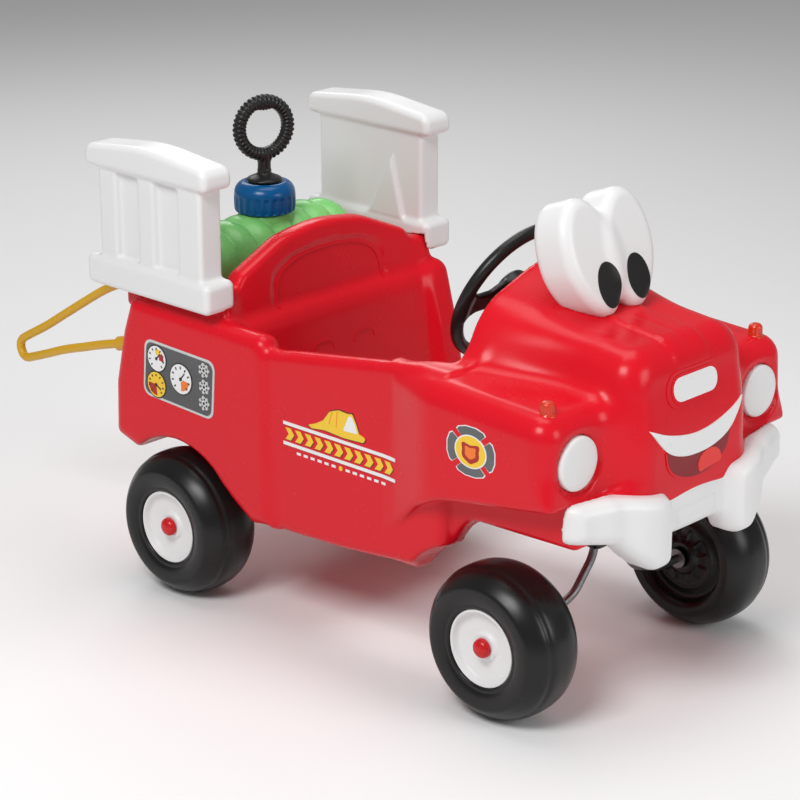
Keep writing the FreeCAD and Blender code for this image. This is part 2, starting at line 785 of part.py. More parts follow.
def main():
    skin, core = body_shell()
    shapes = {}
    whole_front = envelope(0)
    shapes["body_shell"] = skin.cut(core)
    shapes["rail_right"] = rail(-1)
    shapes["rail_left"] = rail(1)
    shapes["water_tank"] = water_tank()
    shapes["tank_cap"] = tank_cap()
    shapes["pump_barrel"] = pump_barrel()
    shapes["pump_piston"] = pump_piston()
    shapes["pump_seal"] = pump_seal()
    shapes["pump_rod"] = pump_rod()
    shapes["pump_handle"] = pump_handle()
    shapes["hose"] = hose()
    shapes["hose_outlet"] = hose_outlet()
    shapes["hose_nozzle"] = hose_nozzle()
    for place, front in (("front", True), ("rear", False)):
        for name, side in (("right", -1), ("left", 1)):
            shapes["tyre_%s_%s" % (place, name)] = tyre(front, side)
            shapes["hub_%s_%s" % (place, name)] = hub(front, side)
            shapes["axle_cap_%s_%s" % (place, name)] = axle_cap(front, side)
        pair = [washers(front, -1), washers(front, 1)]
        shapes["washers_%s" % place] = Part.makeCompound(pair)
    shapes["rear_axle"] = rear_axle()
    shapes["axle_bushings"] = Part.makeCompound([axle_bushing(-1), axle_bushing(1)])
    shapes["front_axle"] = front_axle()
    shapes["steering_knuckle"] = steering_knuckle()
    shapes["knuckle_bushing"] = knuckle_bushing()
    shapes["steering_wheel"] = steering_wheel()
    shapes["horn_button"] = horn_button()
    shapes["horn_spring"] = horn_spring()
    shapes["steering_column"] = steering_column()
    shapes["column_nut"] = column_nut()
    shapes["column_bushing_upper"] = column_bushing(64, 12)
    shapes["column_bushing_lower"] = column_bushing(108, 12)
    shapes["bumper"] = bumper()
    shapes["headlight_right"] = headlight(-1)
    shapes["headlight_left"] = headlight(1)
    shapes["fender_lamps"] = Part.makeCompound([fender_lamp(-1), fender_lamp(1)])
    shapes["eyes"] = eyes(whole_front)
    shapes["pupils"] = pupils()
    shapes["mouth"] = mouth()
    shapes["teeth"] = teeth()
    shapes["tongue"] = tongue()
    shapes["plaque"] = plaque()
    shapes["gauge_panels"] = Part.makeCompound([gauge_panel(-1), gauge_panel(1)])
    shapes["gauge_dials"] = Part.makeCompound(gauge_dials(-1) + gauge_dials(1))
    shapes["stripe_decals"] = Part.makeCompound(stripes(-1))
    shapes["badges"] = Part.makeCompound([badge(-1), badge(1)])
    for name, shape in shapes.items():
        moved = shape.copy()
        moved.translate(V(-MIDDLE_X, 0, 0))
        moved.exportStep("parts/%s.step" % name)
        print("%-22s solids %d valid %s volume %.0f" % (name, len(shape.Solids), shape.isValid(), shape.Volume))


main()
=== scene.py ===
import json
import math
import bmesh
import bpy
import numpy as np
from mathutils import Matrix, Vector
from mathutils.geometry import delaunay_2d_cdt


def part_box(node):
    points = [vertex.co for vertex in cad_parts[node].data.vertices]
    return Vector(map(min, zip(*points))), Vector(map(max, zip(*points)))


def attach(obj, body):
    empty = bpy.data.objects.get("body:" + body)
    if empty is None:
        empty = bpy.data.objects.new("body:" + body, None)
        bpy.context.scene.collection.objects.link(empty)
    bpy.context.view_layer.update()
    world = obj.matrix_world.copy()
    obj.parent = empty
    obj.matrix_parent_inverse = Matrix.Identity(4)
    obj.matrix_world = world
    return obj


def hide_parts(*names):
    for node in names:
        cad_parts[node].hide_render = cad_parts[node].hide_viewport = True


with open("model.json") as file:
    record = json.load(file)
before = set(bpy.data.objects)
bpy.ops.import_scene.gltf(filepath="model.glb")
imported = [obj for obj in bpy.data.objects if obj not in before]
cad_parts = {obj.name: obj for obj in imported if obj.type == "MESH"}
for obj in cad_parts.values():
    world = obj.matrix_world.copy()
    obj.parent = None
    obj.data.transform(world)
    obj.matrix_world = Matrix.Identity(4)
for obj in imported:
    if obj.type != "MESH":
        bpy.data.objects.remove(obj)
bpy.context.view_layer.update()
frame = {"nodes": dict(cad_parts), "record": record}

# Ride-on toy fire truck. Shapes are drawn in millimetres about the point on the floor midway
# between the axles, as the CAD model is, and place() moves them into the row's frame in metres.

MM = 0.001
AXLE_BACK = (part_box("rear_axle")[0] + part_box("rear_axle")[1]) / 2
AXLE_HALF = 283.0
MIDDLE = AXLE_BACK.x + AXLE_HALF * MM
WHEEL_R = 100.0


def place(points):
    """Millimetres about the middle of the wheelbase to metres in the row's frame."""
    return np.asarray(points, float) * MM + np.array([MIDDLE, 0.0, 0.0])


# ---- camera, light and floor ----

def make_camera():
    target = Vector((MIDDLE - 0.0748, 0, 0.2718))
    azimuth, elevation, distance = math.radians(43.4), math.radians(19.5), 3.52
    way = Vector((math.sin(azimuth) * math.cos(elevation), -math.cos(azimuth) * math.cos(elevation),
                  math.sin(elevation)))
    data = bpy.data.cameras.new("camera")
    data.lens = 118.35
    data.sensor_width = 36
    camera = bpy.data.objects.new("camera", data)
    camera.location = target + way * distance
    camera.rotation_euler = (-way).to_track_quat("-Z", "Y").to_euler()
    bpy.context.scene.collection.objects.link(camera)
    bpy.context.scene.camera = camera


def area_light(name, spot, size, power, aim=(0, 0, 0.3)):
    data = bpy.data.lights.new(name, "AREA")
    data.shape = "RECTANGLE"
    data.size, data.size_y = size
    data.energy = power
    lamp = bpy.data.objects.new(name, data)
    lamp.location = spot
    lamp.rotation_euler = (Vector(spot) - Vector(aim)).to_track_quat("Z", "Y").to_euler()
    bpy.context.scene.collection.objects.link(lamp)


def make_stage():
    area_light("key", (0.6, -2.2, 2.6), (1.4, 1.0), 58)
    area_light("fill", (2.8, 0.4, 1.3), (1.2, 1.2), 20)
    area_light("rim", (-2.4, 1.6, 2.2), (1.6, 1.2), 20)
    area_light("top", (-0.2, 0.2, 3.0), (1.6, 1.6), 24)
    world = bpy.data.worlds.new("world")
    world.use_nodes = True
    background = world.node_tree.nodes["Background"]
    background.inputs["Color"].default_value = (1, 1, 1, 1)
    background.inputs["Strength"].default_value = 0.26
    bpy.context.scene.world = world
    bpy.context.scene.view_settings.view_transform = "Standard"
    bpy.ops.mesh.primitive_plane_add(size=14)
    floor = bpy.context.object
    floor.name = "floor"
    paper = bpy.data.materials.new("paper")
    paper.use_nodes = True
    shader = paper.node_tree.nodes["Principled BSDF"]
    shader.inputs["Base Color"].default_value = (0.92, 0.92, 0.92, 1)
    shader.inputs["Roughness"].default_value = 0.9
    floor.data.materials.append(paper)


# ---- materials ----

def material(name, colour, rough=0.35, grain=900.0, bump=0.05, mottle=0.04, metal=0.0, coat=0.0,
             clear=0.0, wave=0.0, gloss=0.4):
    """Moulded or printed surface: faint colour and gloss variation, fine grain and long waves."""
    made = bpy.data.materials.new(name)
    made.use_nodes = True
    nodes, links = made.node_tree.nodes, made.node_tree.links
    shader = nodes["Principled BSDF"]
    where = nodes.new("ShaderNodeTexCoord")

    def noise(scale, detail):
        node = nodes.new("ShaderNodeTexNoise")
        node.inputs["Scale"].default_value = scale
        node.inputs["Detail"].default_value = detail
        links.new(where.outputs["Object"], node.inputs["Vector"])
        return node.outputs["Fac"]

    def ranged(source, low, high):
        node = nodes.new("ShaderNodeMapRange")
        node.inputs["From Min"].default_value = 0.3
        node.inputs["From Max"].default_value = 0.7
        node.inputs["To Min"].default_value = low
        node.inputs["To Max"].default_value = high
        links.new(source, node.inputs["Value"])
        return node.outputs["Result"]

    tint = nodes.new("ShaderNodeMix")
    tint.data_type = "RGBA"
    tint.inputs["A"].default_value = [c * (1 - mottle) for c in colour] + [1]
    tint.inputs["B"].default_value = [min(c * (1 + mottle), 1) for c in colour] + [1]
    links.new(noise(9.0, 3.0), tint.inputs["Factor"])
    links.new(tint.outputs["Result"], shader.inputs["Base Color"])
    links.new(ranged(noise(35.0, 4.0), rough * 0.88, rough * 1.14), shader.inputs["Roughness"])
    fine = nodes.new("ShaderNodeBump")
    fine.inputs["Strength"].default_value = bump
    fine.inputs["Distance"].default_value = 0.0006
    links.new(noise(grain, 2.0), fine.inputs["Height"])
    if wave:
        long_wave = nodes.new("ShaderNodeBump")
        long_wave.inputs["Strength"].default_value = wave
        long_wave.inputs["Distance"].default_value = 0.004
        links.new(noise(14.0, 1.0), long_wave.inputs["Height"])
        links.new(long_wave.outputs["Normal"], fine.inputs["Normal"])
    links.new(fine.outputs["Normal"], shader.inputs["Normal"])
    shader.inputs["Metallic"].default_value = metal
    shader.inputs["Specular IOR Level"].default_value = gloss
    shader.inputs["Coat Weight"].default_value = coat
    shader.inputs["Coat Roughness"].default_value = 0.12
    if clear:
        shader.inputs["Transmission Weight"].default_value = clear
    return made


RED = material("red_polyethylene", (0.70, 0.006, 0.017), 0.25, 700, 0.012, 0.03, wave=0.01,
               gloss=0.25)
WHITE = material("white_polyethylene", (0.80, 0.80, 0.80), 0.34, 700, 0.015, 0.015, wave=0.01)
BLACK = material("black_plastic", (0.014, 0.013, 0.013), 0.32, 1200, 0.08, 0.2, gloss=0.35)
TYRE = material("tyre_plastic", (0.008, 0.008, 0.008), 0.30, 900, 0.02, 0.2, wave=0.01, gloss=0.35)
GREEN = material("green_polyethylene", (0.20, 0.58, 0.16), 0.28, 700, 0.015, 0.06)
BLUE = material("blue_plastic", (0.0, 0.08, 0.24), 0.22, 900, 0.02, 0.06, gloss=0.3)
YELLOW = material("yellow_vinyl", (0.66, 0.37, 0.012), 0.36, 1500, 0.10, 0.05)
STEEL = material("drawn_steel", (0.22, 0.22, 0.23), 0.36, 2500, 0.2, 0.15, metal=1.0)
LAMP = material("lamp_red", (0.80, 0.045, 0.012), 0.16, 700, 0.02, 0.05, coat=0.3, clear=0.25)
CAP_RED = material("cap_red", (0.60, 0.008, 0.012), 0.24, 900, 0.04, 0.05)


def paint(obj, *materials):
    obj.data.materials.clear()
    for one in materials:
        obj.data.materials.append(one)


# ---- distance fields, all in millimetres ----

def rounded(points, radius=0.0, steps=5):
    """Outline with its corners rounded; a point's third value is its own radius."""
    corners = np.array([p[:2] for p in points], float)
    radii = [p[2] if len(p) > 2 else radius for p in points]
    path = []
    for i, corner in enumerate(corners):
        back = corners[i - 1] - corner
        on = corners[(i + 1) % len(corners)] - corner
        back, on = back / np.hypot(*back), on / np.hypot(*on)
        half = math.acos(max(-1.0, min(1.0, float(back @ on)))) / 2
        if radii[i] == 0 or half > 1.565:
            path.append(tuple(corner))
            continue
        reach = radii[i] / math.tan(half)
        middle = (back + on) / np.hypot(*(back + on)) * radii[i] / math.sin(half) + corner
        start = corner + back * reach
        turn = math.pi - 2 * half
        way = 1 if back[0] * on[1] - back[1] * on[0] < 0 else -1
        for k in range(steps + 1):
            angle = way * turn * k / steps
            spoke = start - middle
            path.append((middle[0] + spoke[0] * math.cos(angle) - spoke[1] * math.sin(angle),
                         middle[1] + spoke[0] * math.sin(angle) + spoke[1] * math.cos(angle)))
    return path


def poly(points, u, v):
    """Signed distance to a closed polygon, negative inside."""
    best, sign = None, 1.0
    for (ax, ay), (bx, by) in zip(points, points[1:] + points[:1]):
        ex, ey = bx - ax, by - ay
        wx, wy = u - ax, v - ay
        t = np.clip((wx * ex + wy * ey) / (ex * ex + ey * ey + 1e-12), 0, 1)
        gap = (wx - ex * t) ** 2 + (wy - ey * t) ** 2
        best = gap if best is None else np.minimum(best, gap)
        above, below, left = v >= ay, v < by, ex * wy > ey * wx
        flip = (above & below & left) | (~above & ~below & ~left)
        sign = np.where(flip, -sign, sign)
    return sign * np.sqrt(best)


def meet(a, b, radius=0.0):
    """Intersection whose shared edge is rounded by a true arc."""
    if not np.any(radius):
        return np.maximum(a, b)
    a, b = a + radius, b + radius
    return np.minimum(np.maximum(a, b), 0) + np.hypot(np.maximum(a, 0), np.maximum(b, 0)) - radius


def join(a, b, k):
    """Union with a soft valley about k wide."""
    h = np.clip(0.5 + 0.5 * (b - a) / k, 0, 1)
    return b * (1 - h) + a * h - k * h * (1 - h)


def carve(a, b, k):
    """a with b taken away, its new edges softened over about k."""
    h = np.clip(0.5 - 0.5 * (-b - a) / k, 0, 1)
    return -b * (1 - h) + a * h + k * h * (1 - h)


def step(x, low, high):
    t = np.clip((x - low) / (high - low), 0, 1)
    return t * t * (3 - 2 * t)


def block(x, y, z, centre, half, radius):
    """Box with rounded edges."""
    qx = np.abs(x - centre[0]) - half[0] + radius
    qy = np.abs(y - centre[1]) - half[1] + radius
    qz = np.abs(z - centre[2]) - half[2] + radius
    outside = np.sqrt(np.maximum(qx, 0) ** 2 + np.maximum(qy, 0) ** 2 + np.maximum(qz, 0) ** 2)
    return outside + np.minimum(np.maximum(qx, np.maximum(qy, qz)), 0) - radius


def band(value, low, high):
    """Distance to the slab between two levels of one coordinate."""
    return np.abs(value - (low + high) / 2) - (high - low) / 2


def mirrored(half):
    return half + [(-p[0],) + tuple(p[1:]) for p in reversed(half) if p[0] != 0]


# ---- mesh making ----

CORNERS = [(i, j, k) for i in (0, 1) for j in (0, 1) for k in (0, 1)]
CELL_EDGES = [(a, b) for a in CORNERS for b in CORNERS
              if a < b and sum(abs(p - q) for p, q in zip(a, b)) == 1]


def field_mesh(field, low, high, cell, passes=3):
    """Vertices and quads of the surface where a field is zero, between two corners."""
    axes = [np.arange(low[i] - 2 * cell, high[i] + 3 * cell, cell, dtype=np.float32) for i in range(3)]
    shape = tuple(len(a) for a in axes)
    grid = [a.reshape([-1 if i == j else 1 for j in range(3)]) for i, a in enumerate(axes)]
    value = np.broadcast_to(field(*grid), shape).astype(np.float32)
    cells = tuple(n - 1 for n in shape)

    def corner(offset):
        return value[tuple(slice(o, o + n) for o, n in zip(offset, cells))]
    inside = sum((corner(c) < 0).astype(np.int8) for c in CORNERS)
    spots = np.argwhere((inside > 0) & (inside < 8))
    total = np.zeros((len(spots), 3))
    count = np.zeros(len(spots))
    for a, b in CELL_EDGES:
        da = value[tuple((spots + a).T)].astype(float)
        db = value[tuple((spots + b).T)].astype(float)
        cross = (da < 0) != (db < 0)
        t = np.where(cross, da / np.where(cross, da - db, 1), 0)
        point = np.array(a, float) + t[:, None] * (np.array(b, float) - np.array(a, float))
        total += point * cross[:, None]
        count += cross
    origin = np.array([a[0] for a in axes], float)
    points = origin + (spots + total / count[:, None]) * cell
    index = np.full(cells, -1, np.int32)
    index[tuple(spots.T)] = np.arange(len(spots))
    quads = []
    for axis in range(3):
        first = [slice(None)] * 3
        second = [slice(None)] * 3
        first[axis], second[axis] = slice(0, -1), slice(1, None)
        before, after = value[tuple(first)] < 0, value[tuple(second)] < 0
        edges = np.argwhere(before != after)
        others = [i for i in range(3) if i != axis]
        keep = np.all([(edges[:, i] > 0) & (edges[:, i] < cells[i]) for i in others], axis=0)
        edges = edges[keep]
        solid_first = before[tuple(edges.T)]
        ring = []
        for da, db in ((-1, -1), (0, -1), (0, 0), (-1, 0)):
            spot = edges.copy()
            spot[:, others[0]] += da
            spot[:, others[1]] += db
            ring.append(index[tuple(spot.T)])
        quad = np.stack(ring, 1)
        turn = solid_first if axis != 1 else ~solid_first
        quads.append(np.where(turn[:, None], quad, quad[:, ::-1]))
    quads = np.concatenate(quads)
    return settle(field, points, quads, cell, passes), quads


def settle(field, points, quads, cell, passes):
    """Evens out the vertices along the surface and puts each exactly on it."""
    ends = np.concatenate([quads[:, [0, 1]], quads[:, [1, 2]], quads[:, [2, 3]], quads[:, [3, 0]]])
    count = np.bincount(ends[:, 0], minlength=len(points)) + np.bincount(ends[:, 1], minlength=len(points))
    for _ in range(passes):
        total = np.zeros_like(points)
        for axis in range(3):
            total[:, axis] = np.bincount(ends[:, 0], points[ends[:, 1], axis], len(points)) \
                + np.bincount(ends[:, 1], points[ends[:, 0], axis], len(points))
        points = points * 0.4 + total / count[:, None] * 0.6
        points = project(field, points, cell)
    return points


def project(field, points, cell):
    x, y, z = points.T
    h = cell * 0.15
    slope = np.stack([field(x + h, y, z) - field(x - h, y, z), field(x, y + h, z) - field(x, y - h, z),
                      field(x, y, z + h) - field(x, y, z - h)], 1) / (2 * h)
    size = np.maximum((slope ** 2).sum(1), 0.05)
    move = -(field(x, y, z) / size)[:, None] * slope
    length = np.linalg.norm(move, axis=1, keepdims=True)
    return points + move * np.minimum(1, 0.5 * cell / np.maximum(length, 1e-9))


def mesh_object(name, points, faces):
    """Smooth-shaded object from points in the row's frame and faces of any one size."""
    faces = np.asarray(faces, np.int32)
    data = bpy.data.meshes.new(name)
    data.vertices.add(len(points))
    data.vertices.foreach_set("co", np.asarray(points, np.float32).ravel())
    data.loops.add(faces.size)
    data.loops.foreach_set("vertex_index", faces.ravel())
    data.polygons.add(len(faces))
    data.polygons.foreach_set("loop_start", np.arange(0, faces.size, faces.shape[1], dtype=np.int32))
    data.update(calc_edges=True)
    data.validate()
    data.shade_smooth()
    obj = bpy.data.objects.new(name, data)
    bpy.context.scene.collection.objects.link(obj)
    return obj


def field_object(name, field, low, high, cell, passes=3):
    points, quads = field_mesh(field, low, high, cell * (1.0), passes)
    return mesh_object(name, place(points), quads)


def stand_for(obj, body, look, slot, *nodes):
    paint(obj, *(look if isinstance(look, (list, tuple)) else [look]))
    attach(obj, body)
    if nodes:
        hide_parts(*nodes)


# ---- hose ----

HOSE = [(-0.404, -0.172, 0.402), (-0.436, -0.172, 0.398), (-0.470, -0.173, 0.382),
        (-0.512, -0.174, 0.356), (-0.556, -0.176, 0.328), (-0.598, -0.177, 0.301),
        (-0.633, -0.178, 0.282), (-0.658, -0.179, 0.267), (-0.646, -0.181, 0.243),
        (-0.618, -0.182, 0.253), (-0.586, -0.183, 0.265), (-0.548, -0.184, 0.280),
        (-0.505, -0.184, 0.293), (-0.462, -0.185, 0.307), (-0.428, -0.186, 0.316)]
HOSE_WIDE = 0.0125


def make_hose():
    data = bpy.data.curves.new("hose_curve", "CURVE")
    data.dimensions = "3D"
    spline = data.splines.new("NURBS")
    spline.points.add(len(HOSE) - 1)
    for point, (x, y, z) in zip(spline.points, HOSE):
        point.co = (x + MIDDLE, y, z, 1)
    spline.order_u = 3
    spline.use_endpoint_u = True
    spline.resolution_u = 12
    data.bevel_depth = HOSE_WIDE / 2
    data.bevel_resolution = 6
    data.use_fill_caps = True
    hose = bpy.data.objects.new("water_hose", data)
    bpy.context.scene.collection.objects.link(hose)
    data.materials.append(YELLOW)
    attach(hose, "body")
    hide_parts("hose")


# ---- body ----

HIPS = rounded([(-411, 198, 14), (-408, 276), (-390, 352), (-371, 404, 16), (-118, 400, 20), (-104, 375, 14),
                (-100, 142), (-143, 136), (-190, 166), (-364, 184)])
DOORS = rounded([(-108, 384, 8), (-63, 392, 60), (145, 424), (200, 424), (200, 165), (23, 146), (-68, 141),
                 (-108, 141)])
SKIRT = rounded([(-60, 384), (145, 412), (366, 404, 10), (372, 304, 6), (398, 298, 6), (396, 246, 8),
                 (231, 241, 30), (215, 226, 60), (182, 172, 14), (153, 152, 24), (23, 146), (-60, 141)])
FENDERS = rounded([(95, 424), (380, 411, 30), (385, 300, 4), (261, 281, 60), (205, 270, 60), (162, 248, 30),
                   (95, 180)])
KEEL = rounded([(-345, 195), (-312, 88, 14), (-254, 88, 14), (-212, 195)])
BACK = rounded(mirrored([(0, 499, 260), (76, 489, 120), (156, 455, 16), (168, 441, 8), (196, 436, 12),
                         (200, 396, 6), (200, 240, 4)]))
PANEL = rounded(mirrored([(0, 463, 200), (60, 458, 80), (99, 440, 18), (105, 396, 60), (99, 362, 12),
                          (0, 357, 200)]))
CAB = rounded([(-166, 238, 20), (-206, 505), (-214, 640), (168, 640), (178, 440), (178, 396, 8),
               (214, 380, 10), (214, 60), (-45, 60), (-45, 215), (-62, 238, 16)])
DOORWAY = rounded([(-150, 236, 24), (-165, 315, 60), (-180, 372, 60), (-194, 420), (-215, 640), (140, 640),
                   (118, 400), (104, 236, 40)])
BACK_X, BACK_Z, BACK_LEAN = -193, 240, math.radians(8)
COLUMN_X, COLUMN_Z, COLUMN_TILT = 121, 467, math.radians(65)
TANK_X, TANK_Z, TANK_HALF = -330, 425, 134
LENS_Y, LENS_Z = 178, 349
AXLE_SWING = 14
TUNNEL = [(200, 268), (302, 268), (302, 430), (233, 430), (233, 374), (200, 374)]


def cylinder(u, v, along, radius, low, high, edge=0.0):
    return meet(np.hypot(u, v) - radius, band(along, low, high), edge)


def back_axes(x, z):
    """Depth through the leaning seat back and height along it."""
    fore, up = x - BACK_X, z - BACK_Z
    deep = fore * math.cos(BACK_LEAN) + up * math.sin(BACK_LEAN)
    return deep, up * math.cos(BACK_LEAN) - fore * math.sin(BACK_LEAN) + BACK_Z


def column_axes(x, z):
    """Height across the steering column and distance down along it from the wheel's middle."""
    fore, up = x - COLUMN_X, z - COLUMN_Z
    across = fore * math.cos(COLUMN_TILT) + up * math.sin(COLUMN_TILT)
    return across, fore * math.sin(COLUMN_TILT) - up * math.cos(COLUMN_TILT)


def seat_back(x, y, z):
    deep, high = back_axes(x, z)
    wall = meet(poly(BACK, y, high), np.abs(deep) - 18, 11)
    panel = meet(poly(PANEL, y, high), 14.5 - deep, 0)
    wall = carve(wall, panel, 1.5)
    for side in (-1, 1):
        pad = block(deep, y, high, (12, 39 * side, 300), (11, 23, 44), 7)
        wall = join(wall, pad, 2)
    return wall


def hood(x, y, z):
    """Boxy hood with a raised centre strip that rises into the gabled cowl before the wheel."""
    swell = 1 - step(x, 150, 330)
    half = 114 + 46 * swell
    slope = 0.40 * swell
    radius = 44 + 22 * swell
    strip = 3.6 * step(x, 270, 310) * (1 - step(np.abs(y), 31, 34))
    seam = 1.1 * np.exp(-(y / 1.6) ** 2) * step(x, 300, 330)
    top = 473 - 0.1 * (x - 320) + 38 * swell + strip - seam
    crest = np.sqrt(y * y + 30.0 ** 2) - 30
    roof = (z - top + slope * crest) / np.sqrt(1 + slope ** 2)
    tube = meet(np.abs(y) - half, roof, radius)
    front = 421 - 12 * step(z, 335, 440)
    shell = meet(tube, np.maximum(164 - x, x - front), 34)
    shell = np.where(x < 300, np.maximum(tube, 164 - x), shell)
    return np.maximum(shell, 250 - z)


def fenders(x, y, z):
    half = 211 + 25 * step(x, 95, 200)
    side = np.abs(y) - half
    outline = poly(FENDERS, x, z)
    soft = meet(side, outline, 30)
    crisp = meet(side, outline, 9)
    mix = step(z, 290, 350)
    shape = crisp * (1 - mix) + soft * mix
    rim = np.hypot(np.abs(y) - LENS_Y, z - LENS_Z)
    seat = meet(rim - 41, band(x, 379, 420))
    return carve(shape, seat, 3)


def body_field(x, y, z):
    side = np.abs(y)
    hips = meet(poly(HIPS, x, z), side - 218, 18)
    doors = meet(poly(DOORS, x, z), side - 212, 14)
    skirt = meet(poly(SKIRT, x, z), side - 200, 10)
    keel = meet(poly(KEEL, x, z), side - 132, 10)
    deck = block(x, y, z, (-305.5, 0, 397), (90.5, 200, 17), 9)
    shape = join(hips, doors, 14)
    shape = join(shape, join(skirt, fenders(x, y, z), 4), 4)
    shape = join(shape, hood(x, y, z), 34)
    shape = join(shape, deck, 8)
    shape = join(shape, keel, 12)
    shape = join(shape, seat_back(x, y, z), 10)
    boss = cylinder(x - AXLE_HALF, y, z, 30, 226, 262, 3)
    shape = join(shape, boss, 4)
    cab = meet(poly(CAB, x, z), side - 172, 12)
    shape = carve(shape, cab, 8 + 26 * (1 - step(x, 120, 172)) * step(z, 320, 370))
    door_gap = meet(poly(DOORWAY, x, z), band(y, 150, 300), 0)
    shape = carve(shape, door_gap, 14)
    for way in (-1, 1):
        arch = cylinder(x + AXLE_HALF, z - 100, y * way, 120, 143, 400)
        shape = carve(shape, arch, 6)
        for turn in (-AXLE_SWING, 0, AXLE_SWING):
            c, s = math.cos(math.radians(turn)), math.sin(math.radians(turn))
            u = (x - AXLE_HALF) * c + y * s
            v = y * c - (x - AXLE_HALF) * s
            shape = carve(shape, cylinder(u, z - 100, v * way, 106, 143, 400), 4)
        lens = cylinder(side - LENS_Y, z - LENS_Z, x, 34.4, 370, 440)
        shape = np.maximum(shape, -lens)
    shape = carve(shape, cylinder(x - TANK_X, z - TANK_Z, y, 62.5, -136, 136), 4)
    shape = carve(shape, meet(poly(TUNNEL, x, z), side - 46, 0), 4)
    across, along = column_axes(x, z)
    shape = np.maximum(shape, -cylinder(across, y, along, 10.3, 20, 130))
    shape = np.maximum(shape, -cylinder(x - AXLE_HALF, y, z, 17.3, 200, 280))
    return shape


def make_body():
    body = field_object("truck_body", body_field, (-408, -240, 84), (424, 240, 520), 4.25, 3)
    stand_for(body, "body", RED, "red_plastic", "body_shell")


# ---- turned pieces ----

def smooth_line(points, times=2):
    """Corner cutting, which keeps the two ends."""
    points = np.asarray(points, float)
    for _ in range(times):
        a, b = points[:-1], points[1:]
        cut = np.stack([a * 0.75 + b * 0.25, a * 0.25 + b * 0.75], 1).reshape(-1, 2)
        points = np.concatenate([points[:1], cut, points[-1:]])
    return points


def spin(profile, steps, closed=True, change=None):
    """Triangles of a (radius, along) profile turned about one axis: points are (u, v, along)."""
    profile = np.asarray(profile, float)
    angle = 2 * np.pi * np.arange(steps)[:, None] / steps
    r = np.repeat(profile[None, :, 0], steps, 0)
    along = np.repeat(profile[None, :, 1], steps, 0)
    if change is not None:
        dr, da = change(angle, r, along)
        r, along = r + dr, along + da
    points = np.stack([r * np.cos(angle), r * np.sin(angle), along], 2).reshape(-1, 3)
    n = len(profile)
    span = n if closed else n - 1
    i, j = np.meshgrid(np.arange(steps), np.arange(span), indexing="ij")
    a, b = i * n + j, ((i + 1) % steps) * n + j
    c, d = ((i + 1) % steps) * n + (j + 1) % n, i * n + (j + 1) % n
    tris = [np.stack([a, b, c], 2).reshape(-1, 3), np.stack([a, c, d], 2).reshape(-1, 3)]
    if not closed:
        ring = np.arange(steps)
        for end, tip in ((0, len(points)), (n - 1, len(points) + 1)):
            one, two = ring * n + end, (ring + 1) % steps * n + end
            fan = [one, two, np.full(steps, tip)] if end else [two, one, np.full(steps, tip)]
            tris.append(np.stack(fan, 1))
        ends = [[0, 0, profile[0, 1]], [0, 0, profile[-1, 1]]]
        points = np.concatenate([points, ends])
    return points, np.concatenate(tris)


def tidy_normals(obj, sharp=None):
    made = bmesh.new()
    made.from_mesh(obj.data)
    bmesh.ops.recalc_face_normals(made, faces=made.faces)
    made.to_mesh(obj.data)
    made.free()
    obj.data.shade_smooth()
    if sharp:
        obj.data.set_sharp_from_angle(angle=math.radians(sharp))
    return obj


def wheel_object(name, front, side, profile, steps=96, closed=True, change=None, sharp=35):
    points, tris = spin(profile, steps, closed, change)
    centre = (AXLE_HALF if front else -AXLE_HALF, WHEEL_Y * side, WHEEL_R)
    spot = np.stack([centre[0] + points[:, 0], centre[1] + side * points[:, 2], centre[2] + points[:, 1]], 1)
    return tidy_normals(mesh_object(name, place(spot), tris), sharp)


def upright_object(name, x, y, profile, steps=96, closed=False, change=None, sharp=35):
    points, tris = spin(profile, steps, closed, change)
    return tidy_normals(mesh_object(name, place(points + np.array([x, y, 0.0])), tris), sharp)


WHEEL_Y = 196.0
TYRE_HALF = 45.0


def tread_radius(a):
    crease = 1.3 * np.exp(-((a - 21) / 3.5) ** 2)
    return WHEEL_R - 20 * np.abs(a / TYRE_HALF) ** 2.7 - crease


def tyre_profile():
    across = np.linspace(-TYRE_HALF, TYRE_HALF, 61)
    tread = [(tread_radius(a), a) for a in across]
    outer = smooth_line([(80, 45), (77, 46.5), (68, 46.8), (60, 45), (56, 42.5), (53.5, 43.2), (51.2, 42),
                         (50.6, 38), (50.6, 24)])
    inner = smooth_line([(12, 23), (12, -39), (15, -40), (22, -39.5), (25, -34), (40, -31), (44, -33.5),
                         (48, -31), (58, -28), (61, -33), (64, -41), (70, -45), (80, -45)])
    return np.concatenate([tread[:-1], outer, inner[:-1]])


def inner_ribs(angle, r, along):
    """Low radial ribs on the wheel's inner web."""
    wave = np.exp(-(((angle * 12 / (2 * np.pi)) % 1 - 0.5) / 0.09) ** 2)
    where = (along < -20) * step(r, 24, 28) * (1 - step(r, 36, 41))
    return 0 * r, -3.0 * wave * where


def hub_profile():
    return smooth_line([(5.6, 34.5), (15.5, 34.5), (17.5, 33), (19.5, 30.5), (23, 30), (40, 31.5), (43.5, 34),
                        (45.5, 39), (46.5, 41), (48.5, 41.4), (50, 40.5), (50.3, 38), (50.3, 23), (5.6, 23)])


